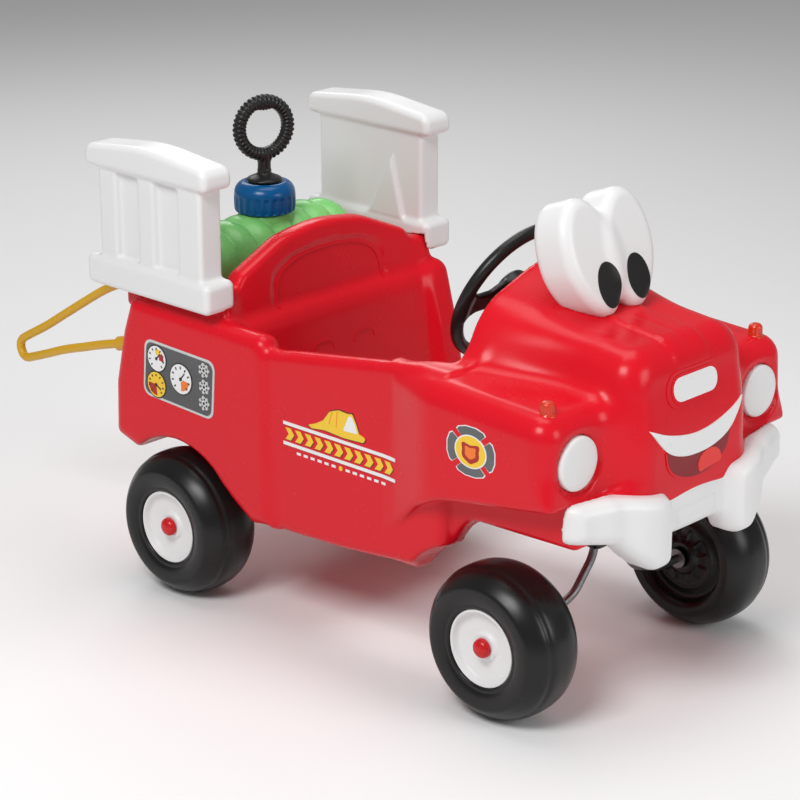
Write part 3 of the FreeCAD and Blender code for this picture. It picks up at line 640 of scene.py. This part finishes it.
def make_wheels():
    for place_name, front in (("front", True), ("rear", False)):
        for side_name, side in (("right", -1), ("left", 1)):
            tail = "%s_%s" % (place_name, side_name)
            body = "wheel_" + tail
            tyre = wheel_object("wheel_tyre_" + tail, front, side, tyre_profile(), 128, True, inner_ribs, 50)
            stand_for(tyre, body, TYRE, "tyre_plastic", "tyre_" + tail)
            hub = wheel_object("wheel_hub_" + tail, front, side, hub_profile(), 96)
            stand_for(hub, body, WHITE, "white_plastic", "hub_" + tail)
            dome = [(11.8, 35.2), (12.6, 36.2)] + [(12.4 * math.cos(t), 38.5 + 8.4 * math.sin(t))
                                                   for t in np.radians(np.linspace(4, 88, 15))]
            cap = wheel_object("axle_dome_" + tail, front, side, dome, 64, False)
            stand_for(cap, "front_axle_body" if front else "body", CAP_RED, "axle_cap_red",
                      "axle_cap_" + tail)


# ---- rails, tank, cap and pump ring ----

RAIL_TOP = rounded([(-434, 577, 9), (-196, 577, 9), (-198, 606, 14), (-315, 619, 300), (-432, 606, 14)])


def rail_field(x, y, z):
    """The left rail, at y from 182 to 234; the right one mirrors it."""
    top = meet(poly(RAIL_TOP, x, z), band(y, 182, 234), 9)
    foot = block(x, y, z, (-315, 208, 434.5), (119, 26, 20.5), 9)
    panel = block(x, y, z, (-312.5, 207.5, 515), (99.5, 19.5, 80), 6)
    for low, high in ((-376, -336), (-302, -259)):
        channel = block(x, y, z, ((low + high) / 2, 230, 516), ((high - low) / 2, 12, 58), 5)
        panel = carve(panel, channel, 7)
    brace = poly([(-266, 540), (-243, 452), (-312, 452)], x, z)
    brace = meet(brace, band(y, 182, 196), 5)
    shape = join(join(panel, brace, 5), join(top, foot, 1), 6)
    deep, high = back_axes(x, z)
    wall = np.maximum(poly(BACK, y, high), np.abs(deep) - 18)
    return np.maximum(shape, 0.5 - wall)


def make_rails():
    for name, side, low, high in (("right", -1, -236, -180), ("left", 1, 180, 236)):
        rail = field_object("side_rail_" + name, lambda x, y, z, s=side: rail_field(x, y * s, z),
                            (-436, low, 412), (-194, high, 622), 2.2)
        stand_for(rail, "body", WHITE, "white_plastic", "rail_" + name)


def tank_field(x, y, z):
    ribs = 6.5 * np.abs(np.cos(math.pi * y / 38.0)) ** 0.75 - 6.5
    radius = 62 + ribs - 11 * (np.abs(y) / TANK_HALF) ** 4
    drum = meet((np.hypot(x - TANK_X, z - TANK_Z) - radius) * 0.93, np.abs(y) - TANK_HALF, 7)
    collar = cylinder(x - TANK_X, y, z, 37, 440, 486.5, 3)
    return join(drum, collar, 3)


def make_tank():
    tank = field_object("ribbed_tank", tank_field, (-394, -136, 360), (-266, 136, 490), 2.2)
    stand_for(tank, "body", GREEN, "green_plastic", "water_tank")


def flutes(angle, r, along):
    """Grip flutes round the cap's side, each ending in a soft step below the dome."""
    wave = np.clip(np.cos(angle * 22) * 1.6 - 0.2, -1, 1)
    level = step(along, 488, 491) * (1 - step(along, 508, 513))
    return 0.75 * (wave - 1) * level * (r > 36), 0 * r


def make_cap():
    profile = smooth_line([(8.3, 487.5), (40, 487.5), (42.2, 489.5), (42.3, 512), (41, 519), (37, 525),
                           (31, 528.6), (26.5, 529), (25.5, 527), (8.3, 527)], 3)
    fine = []
    for a, b in zip(profile[:-1], profile[1:]):
        count = max(1, int(np.hypot(*(b - a)) / 2.2))
        fine += [a + (b - a) * k / count for k in range(count)]
    fine.append(profile[-1])
    cap = upright_object("tank_screw_cap", TANK_X, 0, fine, 220, True, flutes, 60)
    stand_for(cap, "cap", BLUE, "blue_plastic", "tank_cap")


def ring_field(x, y, z):
    turn = math.radians(-17)
    fore = x - TANK_X
    u = fore * math.cos(turn) + y * math.sin(turn)
    v = y * math.cos(turn) - fore * math.sin(turn)
    w = z - 603
    angle = np.arctan2(w, v)
    radial = np.hypot(v, w)
    teeth = np.clip(np.cos(angle * 40) * 2.5, -1, 1)
    outward = step(radial, 36, 42)
    side = step(np.abs(u), 3, 6)
    tube = np.hypot(radial - 36.5, u * 0.92) - 8.7 - 0.75 * teeth * np.maximum(outward, side * 0.8)
    thumb = meet(cylinder(v, w - 62, u, 37, -7, 7, 2), radial - 34, 2)
    grooves = 0.7 * np.clip(np.cos(v * 2 * math.pi / 4.5) * 2, -1, 1)
    ring = join(tube, thumb + grooves * 0.6, 3)
    stem = cylinder(fore, y, z, 9.0, 532, 570, 1.5)
    foot = np.hypot(fore, y) - (9 + 15.5 * (1 - step(z, 531, 541)))
    foot = meet(foot * 0.6, band(z, 529.4, 545), 1)
    return join(join(ring, stem, 5), foot, 2)


def make_pump_ring():
    ring = field_object("pump_ring", ring_field, (-356, -50, 528), (-304, 50, 652), 1.15, 2)
    stand_for(ring, "pump", BLACK, "black_plastic", "pump_handle")


# ---- steering wheel ----

def wheel_field(x, y, z):
    up, along = column_axes(x, z)
    radial = np.hypot(y, up)
    rim = np.hypot(radial - 94.5, along) - 8.4
    hub = meet(radial - 27, band(along, -10, 20), 5)
    shape = join(rim, hub, 1)
    for angle in (90, 0, 180):
        a = math.radians(angle)
        out, across = y * math.cos(a) - up * math.sin(a), y * math.sin(a) + up * math.cos(a)
        flare = 13 + 9 * (1 - step(out, 26, 52)) + 7 * step(out, 68, 88)
        spoke = meet(np.abs(across) - flare, np.abs(along - 2) - 4.5, 3)
        spoke = meet(spoke, band(out, 0, 92), 1)
        shape = join(shape, spoke, 7)
    shape = np.maximum(shape, -cylinder(y, up, along, 17.6, -30, -1.4))
    return np.maximum(shape, -cylinder(y, up, along, 6.1, -30, 60))


def make_steering_wheel():
    wheel = field_object("drivers_wheel", wheel_field, (60, -104, 370), (185, 104, 562), 2.0, 2)
    stand_for(wheel, "steering", BLACK, "black_plastic", "steering_wheel")


# ---- bumper, lamps and eyes ----

BUMPER_FRONT = rounded(mirrored([(0, 296, 200), (60, 291, 60), (110, 298, 60), (150, 304, 30), (205, 303, 14),
                                 (209, 256, 14), (145, 244, 12), (122, 222, 18), (96, 201, 22), (64, 201, 22),
                                 (47, 228, 10)]))
BUMPER_BACK = rounded([(214, 380), (160, 392, 40), (0, 404), (-160, 392, 40), (-214, 380),
                       (-300, 300), (300, 300)])


def bumper_field(x, y, z):
    side = np.abs(y)
    far = 441 - 5 * (side / 100) ** 2 - 16 * step(side, 110, 190) - 5 * step(side, 190, 209)
    front = far - 17 * (1 - step(side, 52, 74)) - 6 * step(z, 270, 300) * (1 - step(side, 50, 90))
    front = front + 5 * np.exp(-((side - 90) / 24) ** 2) - 4 * np.exp(-((side - 136) / 16) ** 2)
    shape = meet((x - front) * 0.85, poly(BUMPER_FRONT, y, z), 16)
    inset = block(0 * x, y, z, (0, 0, 250), (50, 38, 15), 8)
    shape = shape + 1.2 * np.exp(-(inset / 1.5) ** 2) * (x > front - 8)
    return np.maximum(shape, -poly(BUMPER_BACK, y, x))


def make_bumper():
    bumper = field_object("front_bumper", bumper_field, (378, -224, 198), (444, 224, 322), 2.6)
    stand_for(bumper, "body", WHITE, "white_plastic", "bumper")


def make_headlights():
    profile = [(33.8, 0), (33.8, 10.5), (33.2, 12.2), (32, 13.2)]
    profile += [(31.4 * math.cos(t), 13 + 2.4 * math.sin(t)) for t in np.radians(np.linspace(8, 88, 14))]
    points, tris = spin(profile, 96, False)
    for name, side in (("right", -1), ("left", 1)):
        spot = np.stack([370 + points[:, 2], LENS_Y * side + points[:, 0], LENS_Z + points[:, 1]], 1)
        lens = tidy_normals(mesh_object("headlamp_" + name, place(spot), tris), 50)
        stand_for(lens, "body", WHITE, "white_plastic", "headlight_" + name)


def beacon_ribs(angle, r, along):
    wave = 0.5 + 0.5 * np.cos(angle * 12)
    level = step(along, 413, 415) * (1 - step(along, 421, 424))
    return -1.1 * wave * level, 0 * r


def make_beacons():
    profile = [(11.2, 404), (11.4, 409), (10.6, 411), (9.4, 411.8), (9.4, 415), (9.4, 418), (9.3, 421),
               (8.6, 423.6), (6.8, 425.8), (4, 426.9), (1, 427)]
    parts, faces, count = [], [], 0
    for side in (-1, 1):
        points, tris = spin(profile, 72, False, beacon_ribs)
        parts.append(points + np.array([353, 203 * side, 0]))
        faces.append(tris + count)
        count += len(points)
    pair = mesh_object("fender_beacons", place(np.concatenate(parts)), np.concatenate(faces))
    tidy_normals(pair, 40)
    stand_for(pair, "body", LAMP, "lamp_red", "fender_lamps")


def eye_field(x, y, z):
    """Two leaning lobes that touch along their whole height and part only at the top."""
    lean = math.radians(20)
    shape = None
    deep = (x - 256) * math.cos(lean) + (z - 541) * math.sin(lean)
    high = (z - 541) * math.cos(lean) - (x - 256) * math.sin(lean)
    for side in (-1, 1):
        splay = math.radians(7) * side
        w = (y - 34 * side) * math.cos(splay) - high * math.sin(splay)
        h = high * math.cos(splay) + (y - 34 * side) * math.sin(splay)
        wide = 48.0 - 8.0 * step(-h, 0, 76)
        scaled = np.hypot(w / wide, h / 76)
        edge = (scaled - 1) * scaled / np.maximum(np.hypot(w / wide ** 2, h / 76 ** 2), 1e-4)
        lobe = meet(edge, np.abs(deep) - 30.0, 15)
        shape = lobe if shape is None else join(shape, lobe, 14)
    return shape


def make_eyes():
    def clipped(x, y, z):
        return np.maximum(eye_field(x, y, z), -0.3 - body_field(x, y, z))
    eyes = field_object("eye_pair", clipped, (196, -88, 462), (318, 88, 622), 2.2)
    stand_for(eyes, "body", WHITE, "white_plastic", "eyes")


# ---- printed and raised trim that follows the surfaces ----

def split_line(points, gap):
    fine = []
    for (ax, ay), (bx, by) in zip(points, points[1:] + points[:1]):
        count = max(1, int(math.hypot(bx - ax, by - ay) / gap))
        fine += [(ax + (bx - ax) * k / count, ay + (by - ay) * k / count) for k in range(count)]
    return fine


def patch(outline, lay, thick, gap=6.0, sunk=0.4):
    """Closed thin shell: a flat outline laid on to a surface by lay(), raised by thick."""
    rim = split_line([tuple(map(float, p[:2])) for p in outline], gap)
    u = np.arange(min(p[0] for p in rim), max(p[0] for p in rim), gap)
    v = np.arange(min(p[1] for p in rim), max(p[1] for p in rim), gap)
    uu, vv = [a.ravel() for a in np.meshgrid(u, v)]
    keep = poly(rim, uu, vv) < -0.45 * gap
    spots = [Vector(p) for p in rim + list(zip(uu[keep], vv[keep]))]
    made = delaunay_2d_cdt(spots, [], [list(range(len(rim)))], 1, 1e-4)
    flat = np.array([tuple(p) for p in made[0]])
    tris = np.array(made[2], int)
    base, normal = lay(flat)
    top, under = base + normal * thick, base - normal * sunk
    edges = np.concatenate([tris[:, [0, 1]], tris[:, [1, 2]], tris[:, [2, 0]]])
    keys = {tuple(sorted(e)): 0 for e in edges.tolist()}
    for e in edges.tolist():
        keys[tuple(sorted(e))] += 1
    border = np.array([e for e in edges.tolist() if keys[tuple(sorted(e))] == 1])
    n = len(flat)
    side_a = np.stack([border[:, 1], border[:, 0], border[:, 0] + n], 1)
    side_b = np.stack([border[:, 1], border[:, 0] + n, border[:, 1] + n], 1)
    faces = np.concatenate([tris, tris[:, ::-1] + n, side_a, side_b])
    return np.concatenate([top, under]), faces


def slopes(field, points):
    h = 0.4
    x, y, z = points.T
    n = np.stack([field(x + h, y, z) - field(x - h, y, z), field(x, y + h, z) - field(x, y - h, z),
                  field(x, y, z + h) - field(x, y, z - h)], 1)
    return n / np.maximum(np.linalg.norm(n, axis=1, keepdims=True), 1e-9)


def march(field, points, way):
    for _ in range(24):
        gap = field(*points.T)
        points = points + way * gap[:, None] * 0.9
        if np.abs(gap).max() < 0.03:
            break
    return points


def lay_side(side):
    """Flat (x, z) points on to the body's side; the same drawing on both sides."""
    def lay(flat):
        start = np.stack([flat[:, 0], np.full(len(flat), 240.0 * side), flat[:, 1]], 1)
        points = march(body_field, start, np.array([0, -side, 0.0]))
        return points, slopes(body_field, points)
    return lay


def lay_front(field, start_x):
    """Flat (y, z) points on to the front of a shape."""
    def lay(flat):
        start = np.stack([np.full(len(flat), start_x), flat[:, 0], flat[:, 1]], 1)
        points = march(field, start, np.array([-1.0, 0, 0]))
        return points, slopes(field, points)
    return lay


def laid_object(name, patches, looks, body, slot, *nodes):
    """One piece from (patch, look) pairs."""
    points, faces, index, count = [], [], [], 0
    for (spots, tris), look in patches:
        points.append(spots)
        faces.append(tris + count)
        index.append(np.full(len(tris), looks.index(look)))
        count += len(spots)
    obj = mesh_object(name, place(np.concatenate(points)), np.concatenate(faces))
    stand_for(obj, body, looks, slot, *nodes)
    obj.data.polygons.foreach_set("material_index", np.concatenate(index).astype(np.int32))
    tidy_normals(obj, 35)


def disc(u, v, radius, steps=40, squash=1.0, turn=0.0):
    """Closed round or oval outline."""
    points = []
    c, s = math.cos(turn), math.sin(turn)
    for k in range(steps):
        a = 2 * math.pi * k / steps
        p, q = radius * math.cos(a), radius * squash * math.sin(a)
        points.append((u + p * c - q * s, v + p * s + q * c))
    return points


def sector(u, v, radius, start, end, inner=0.0, steps=14):
    angles = np.radians(np.linspace(start, end, steps))
    outer = [(u + radius * math.cos(a), v + radius * math.sin(a)) for a in angles]
    if inner == 0:
        return outer + [(u, v)]
    return outer + [(u + inner * math.cos(a), v + inner * math.sin(a)) for a in angles[::-1]]


def bar(u, v, angle, start, end, wide):
    c, s = math.cos(math.radians(angle)), math.sin(math.radians(angle))
    return [(u + c * r - s * w, v + s * r + c * w) for r, w in
            ((start, -wide / 2), (end, -wide / 2), (end, wide / 2), (start, wide / 2))]


PANEL_OUT = rounded([(-337, 353), (-200, 349), (-206, 267), (-343, 273)], 13)
PANEL_IN = rounded([(-333.5, 349.5), (-203.5, 345.5), (-209.5, 270.5), (-339.5, 276.5)], 11)
GAUGES = ((-313, 329, 17.5, 0), (-315, 292, 17.5, 1), (-266, 311, 20.5, 2))
HAND_WHEELS = ((-220, 334), (-220, 311), (-221, 288))


def gauge_patches(lay, u, v, r, kind):
    yield patch(disc(u, v, r + 1.6), lay, 1.9), DARK
    yield patch(disc(u, v, r), lay, 2.2), (PAPER, LEMON, PAPER)[kind]
    if kind == 0:
        yield patch(sector(u, v, r * 0.8, 50, 100, r * 0.3), lay, 2.4, 3), LEMON
        yield patch(sector(u, v, r * 0.8, -12, 42, r * 0.3), lay, 2.4, 3), BRICK
    if kind == 1:
        yield patch(sector(u, v, r * 0.86, 175, 275), lay, 2.4, 3), BRICK
    if kind == 2:
        yield patch(sector(u, v, r * 0.8, -88, -8, r * 0.2), lay, 2.4, 3), ORANGE
    for k in range(9):
        angle = 225 - 33.75 * k
        yield patch(bar(u, v, angle, r * 0.68, r * 0.86, r * 0.09), lay, 2.7, 2), DARK
    angle = (48, -30, 50)[kind]
    yield patch(bar(u, v, angle, -r * 0.15, r * 0.6, r * 0.08), lay, 2.9, 2), DARK
    yield patch(disc(u, v, r * 0.12, 16), lay, 3.1, 2), DARK


def hand_wheel_patches(lay, u, v):
    star = []
    for k in range(56):
        a = 2 * math.pi * k / 56
        r = 9.0 + 1.3 * math.cos(7 * a)
        star.append((u + r * math.cos(a), v + r * math.sin(a)))
    yield patch(star, lay, 2.8, 3), SILVER
    for k in range(7):
        a = 2 * math.pi * (k + 0.5) / 7
        yield patch(disc(u + 5.9 * math.cos(a), v + 5.9 * math.sin(a), 1.5, 12), lay, 3.0, 2), DARK
    yield patch(disc(u, v, 2.0, 14), lay, 3.0, 2), DARK


def make_gauges():
    panels, dials = [], []
    for side in (-1, 1):
        lay = lay_side(side)
        panels += [(patch(PANEL_OUT, lay, 1.0), SILVER), (patch(PANEL_IN, lay, 1.4), PANEL_GREY)]
        for spot in GAUGES:
            dials += list(gauge_patches(lay, *spot))
        for spot in HAND_WHEELS:
            dials += list(hand_wheel_patches(lay, *spot))
    laid_object("gauge_plates", panels, [SILVER, PANEL_GREY], "body", "grey_label", "gauge_panels")
    laid_object("gauge_faces", dials, [PAPER, LEMON, BRICK, ORANGE, DARK, SILVER], "body", "dial_label",
                "gauge_dials")


HELMET = rounded([(-35, 303, 1), (-21, 308, 4), (-7, 316, 6), (4, 330, 10), (20, 336, 14), (38, 335, 4),
                  (44, 337, 3), (51, 325, 8), (56, 313, 3), (68, 309, 2), (63, 303, 2), (30, 301, 20),
                  (-5, 303, 20), (-28, 300, 2)])
HELMET_FRONT = rounded([(28, 311, 1), (38, 332, 3), (43, 333, 2), (50, 322, 8), (53, 312, 1)])


def make_stripes():
    """Printed band on the right door; the left side is open there."""
    parts = []
    lay = lay_side(-1)
    for low, high in ((293, 297.5), (265.5, 270)):
        parts.append((patch([(-81, low - 1.2), (121, low - 1.2), (121, low), (-81, low)], lay, 0.35), BRICK))
        parts.append((patch([(-80, low), (120, low), (120, high), (-80, high)], lay, 0.5), PAPER))
    for k in range(11):
        u = -76 + 17.6 * k
        mark = [(u, 273.5), (u + 10, 273.5), (u + 16, 281.5), (u + 10, 289.5), (u, 289.5), (u + 6, 281.5)]
        shade = [(p + 0.8, q - 0.9) for p, q in mark]
        parts += [(patch(shade, lay, 0.35), DARK), (patch(mark, lay, 0.5), LEMON)]
    for k in range(13):
        if k != 6:
            parts.append((patch(bar(-52 + 12.5 * k, 258.5, 0, -3.6, 3.6, 3.4), lay, 0.5), PAPER))
    parts.append((patch(disc(23, 258.5, 3.2, 20), lay, 0.5), LEMON))
    rim = [(20 + (p - 20) * 1.03, 318 + (q - 318) * 1.07) for p, q in HELMET]
    parts += [(patch(rim, lay, 0.4), DARK), (patch(HELMET, lay, 0.6), LEMON),
              (patch(HELMET_FRONT, lay, 0.8), PAPER)]
    parts.append((patch(bar(6, 322, 70, -9, 9, 1.2), lay, 0.75), ORANGE))
    parts.append((patch(bar(17, 323, 84, -11, 11, 1.2), lay, 0.75), ORANGE))
    laid_object("side_stripes", parts, [PAPER, LEMON, DARK, BRICK, ORANGE], "body", "gold_label",
                "stripe_decals")


BADGE_X, BADGE_Z = 264.0, 350.0


def badge_arm(turn, grow):
    """One flared arm of the cross."""
    points = []
    for r, a in ((20, -33), (36.5, -37), (38.5, -30), (38, -12), (38, 12), (38.5, 30), (36.5, 37), (20, 33)):
        angle = math.radians(turn + a * (1 + 0.02 * grow))
        points.append((BADGE_X + (r + grow) * math.cos(angle), BADGE_Z + (r + grow) * 0.82 * math.sin(angle)))
    return points


def make_piping():
    """Raised lines along the top of the seat back's panel and of the two lumbar pads."""
    lay = lay_front(body_field, -120.0)
    arch = smooth_line([(-102, 398), (-98, 438), (-60, 457), (0, 462), (60, 457), (98, 438), (102, 398)], 3)
    inner = arch * np.array([0.968, 1.0]) - np.array([0, 3.2])
    parts = [(patch([tuple(p) for p in np.concatenate([arch, inner[::-1]])], lay, 1.3, 4), RED)]
    for side in (-1, 1):
        line = smooth_line([(39 * side - 20, 328), (39 * side - 17, 341), (39 * side + 17, 341),
                            (39 * side + 20, 328)], 3)
        under = line - np.array([0, 3.0])
        parts.append((patch([tuple(p) for p in np.concatenate([line, under[::-1]])], lay, 1.1, 4), RED))
    laid_object("seat_piping", parts, [RED], "body", "red_plastic")


def make_badges():
    shield = rounded([(-15, 11, 3), (0, 8, 8), (15, 11, 3), (13, 1, 6), (15, -8, 8), (0, -16, 6),
                      (-15, -8, 8), (-13, 1, 6)])
    parts = []
    for side in (-1, 1):
        lay = lay_side(side)
        for turn in (0, 90, 180, 270):
            parts.append((patch(badge_arm(turn, 1.6), lay, 0.5), PAPER))
            parts.append((patch(badge_arm(turn, 0), lay, 0.7), SILVER_DARK))
        parts.append((patch(disc(BADGE_X, BADGE_Z, 25.5, 48, 0.82), lay, 0.9), PAPER))
        parts.append((patch(disc(BADGE_X, BADGE_Z, 23.5, 48, 0.82), lay, 1.1), LEMON))
        parts.append((patch([(BADGE_X + p, BADGE_Z + q) for p, q in shield], lay, 1.3), BRICK))
        inner = [(BADGE_X + p * 0.62, BADGE_Z + q * 0.62) for p, q in shield]
        parts.append((patch(inner, lay, 1.5, 4), ORANGE))
    laid_object("cross_badges", parts, [PAPER, SILVER_DARK, LEMON, BRICK, ORANGE], "body", "badge_label",
                "badges")


def arc_line(points, times=3):
    return [tuple(p) for p in smooth_line(points, times)]


def hanging_arc(half):
    """Outline with a straight top and a curved lower edge, from one half of that edge."""
    whole = half + [(-u, v) for u, v in reversed(half[:-1])]
    return [whole[-1], whole[0]] + arc_line(whole)[1:-1]


def make_face():
    lay = lay_front(body_field, 440.0)
    upper = arc_line([(-91, 375), (-56, 360), (0, 350), (56, 360), (91, 375)])
    lower = arc_line([(91, 375), (70, 348), (52, 335), (24, 327), (0, 326), (-24, 327), (-52, 335),
                      (-70, 348), (-91, 375)])
    teeth = upper + lower[1:-1]
    cavity = hanging_arc([(62, 340), (57, 318), (34, 302), (0, 296)])
    lip = hanging_arc([(65, 341), (60, 316), (36, 299), (0, 292.5)])
    laid_object("mouth_inside", [(patch(lip, lay, 1.2), RED), (patch(cavity, lay, 1.5), MAROON)],
                [RED, MAROON], "body", "mouth_label", "mouth")
    laid_object("teeth_row", [(patch(teeth, lay, 2.2), PAPER)], [PAPER], "body", "white_label", "teeth")
    tongue = [(u, max(v, 299.5 + abs(u) * 0.12)) for u, v in disc(22, 309, 23, 40, 0.74)]
    laid_object("tongue_tip", [(patch(tongue, lay, 2.0, 4), TONGUE)], [TONGUE], "body", "tongue_label",
                "tongue")
    ring = rounded([(-54, 388), (54, 388), (54, 434), (-54, 434)], 22)
    pill = rounded([(-42, 396), (42, 396), (42, 426), (-42, 426)], 14)
    rim = rounded([(-45.5, 392.5), (45.5, 392.5), (45.5, 429.5), (-45.5, 429.5)], 17)
    plates = [(patch(ring, lay, 1.1), RED), (patch(rim, lay, 2.0), RED), (patch(pill, lay, 3.2), PAPER)]
    laid_object("blank_plaque", plates, [RED, PAPER], "body", "white_label", "plaque")
    eye = lay_front(eye_field, 330.0)
    pupils = []
    for side in (-1, 1):
        oval = disc(4 + 28 * side, 516, 27, 56, 0.74, math.radians(90 + 4 * side))
        pupils.append((patch(oval, eye, 0.9), BLACK))
    laid_object("eye_pupils", pupils, [BLACK], "body", "black_plastic", "pupils")


PAPER = material("white_print", (0.84, 0.84, 0.84), 0.3, 900, 0.04, 0.02)
LEMON = material("yellow_print", (0.90, 0.58, 0.03), 0.3, 900, 0.04, 0.04)
ORANGE = material("orange_print", (0.88, 0.20, 0.02), 0.3, 900, 0.04, 0.05)
BRICK = material("dark_red_print", (0.42, 0.012, 0.008), 0.3, 900, 0.04, 0.05)
DARK = material("black_print", (0.015, 0.013, 0.012), 0.35, 900, 0.04, 0.2)
SILVER = material("silver_print", (0.62, 0.62, 0.62), 0.3, 1500, 0.05, 0.1)
SILVER_DARK = material("steel_print", (0.11, 0.115, 0.12), 0.25, 1500, 0.05, 0.35)
PANEL_GREY = material("panel_print", (0.09, 0.092, 0.096), 0.3, 1500, 0.06, 0.45)
MAROON = material("mouth_red", (0.24, 0.004, 0.009), 0.4, 900, 0.05, 0.1)
TONGUE = material("tongue_red", (0.80, 0.03, 0.022), 0.3, 900, 0.05, 0.06)


def make_nodes():
    """CAD nodes that keep their own shape get their material."""
    looks = {
        "white_plastic": WHITE, "black_plastic": BLACK, "tyre_plastic": TYRE, "green_plastic": GREEN,
        "blue_plastic": BLUE, "yellow_hose": YELLOW, "brass_fitting": YELLOW, "steel_rod": STEEL,
        "lamp_red": LAMP, "axle_cap_red": CAP_RED, "seal_rubber": BLACK, "red_plastic": RED,
        "grey_label": STEEL, "dial_label": WHITE, "gold_label": YELLOW, "badge_label": WHITE,
        "white_label": WHITE, "mouth_label": BLACK, "tongue_label": CAP_RED,
    }
    slots = {s["node"]: s["material_slot"] for s in frame["record"]["subparts"]}
    for name, obj in frame["nodes"].items():
        paint(obj, looks[slots[name]])


make_camera()
make_stage()
make_hose()
make_nodes()
make_body()
make_wheels()
make_rails()
make_tank()
make_cap()
make_pump_ring()
make_steering_wheel()
make_bumper()
make_headlights()
make_beacons()
make_eyes()
make_gauges()
make_stripes()
make_piping()
make_badges()
make_face()
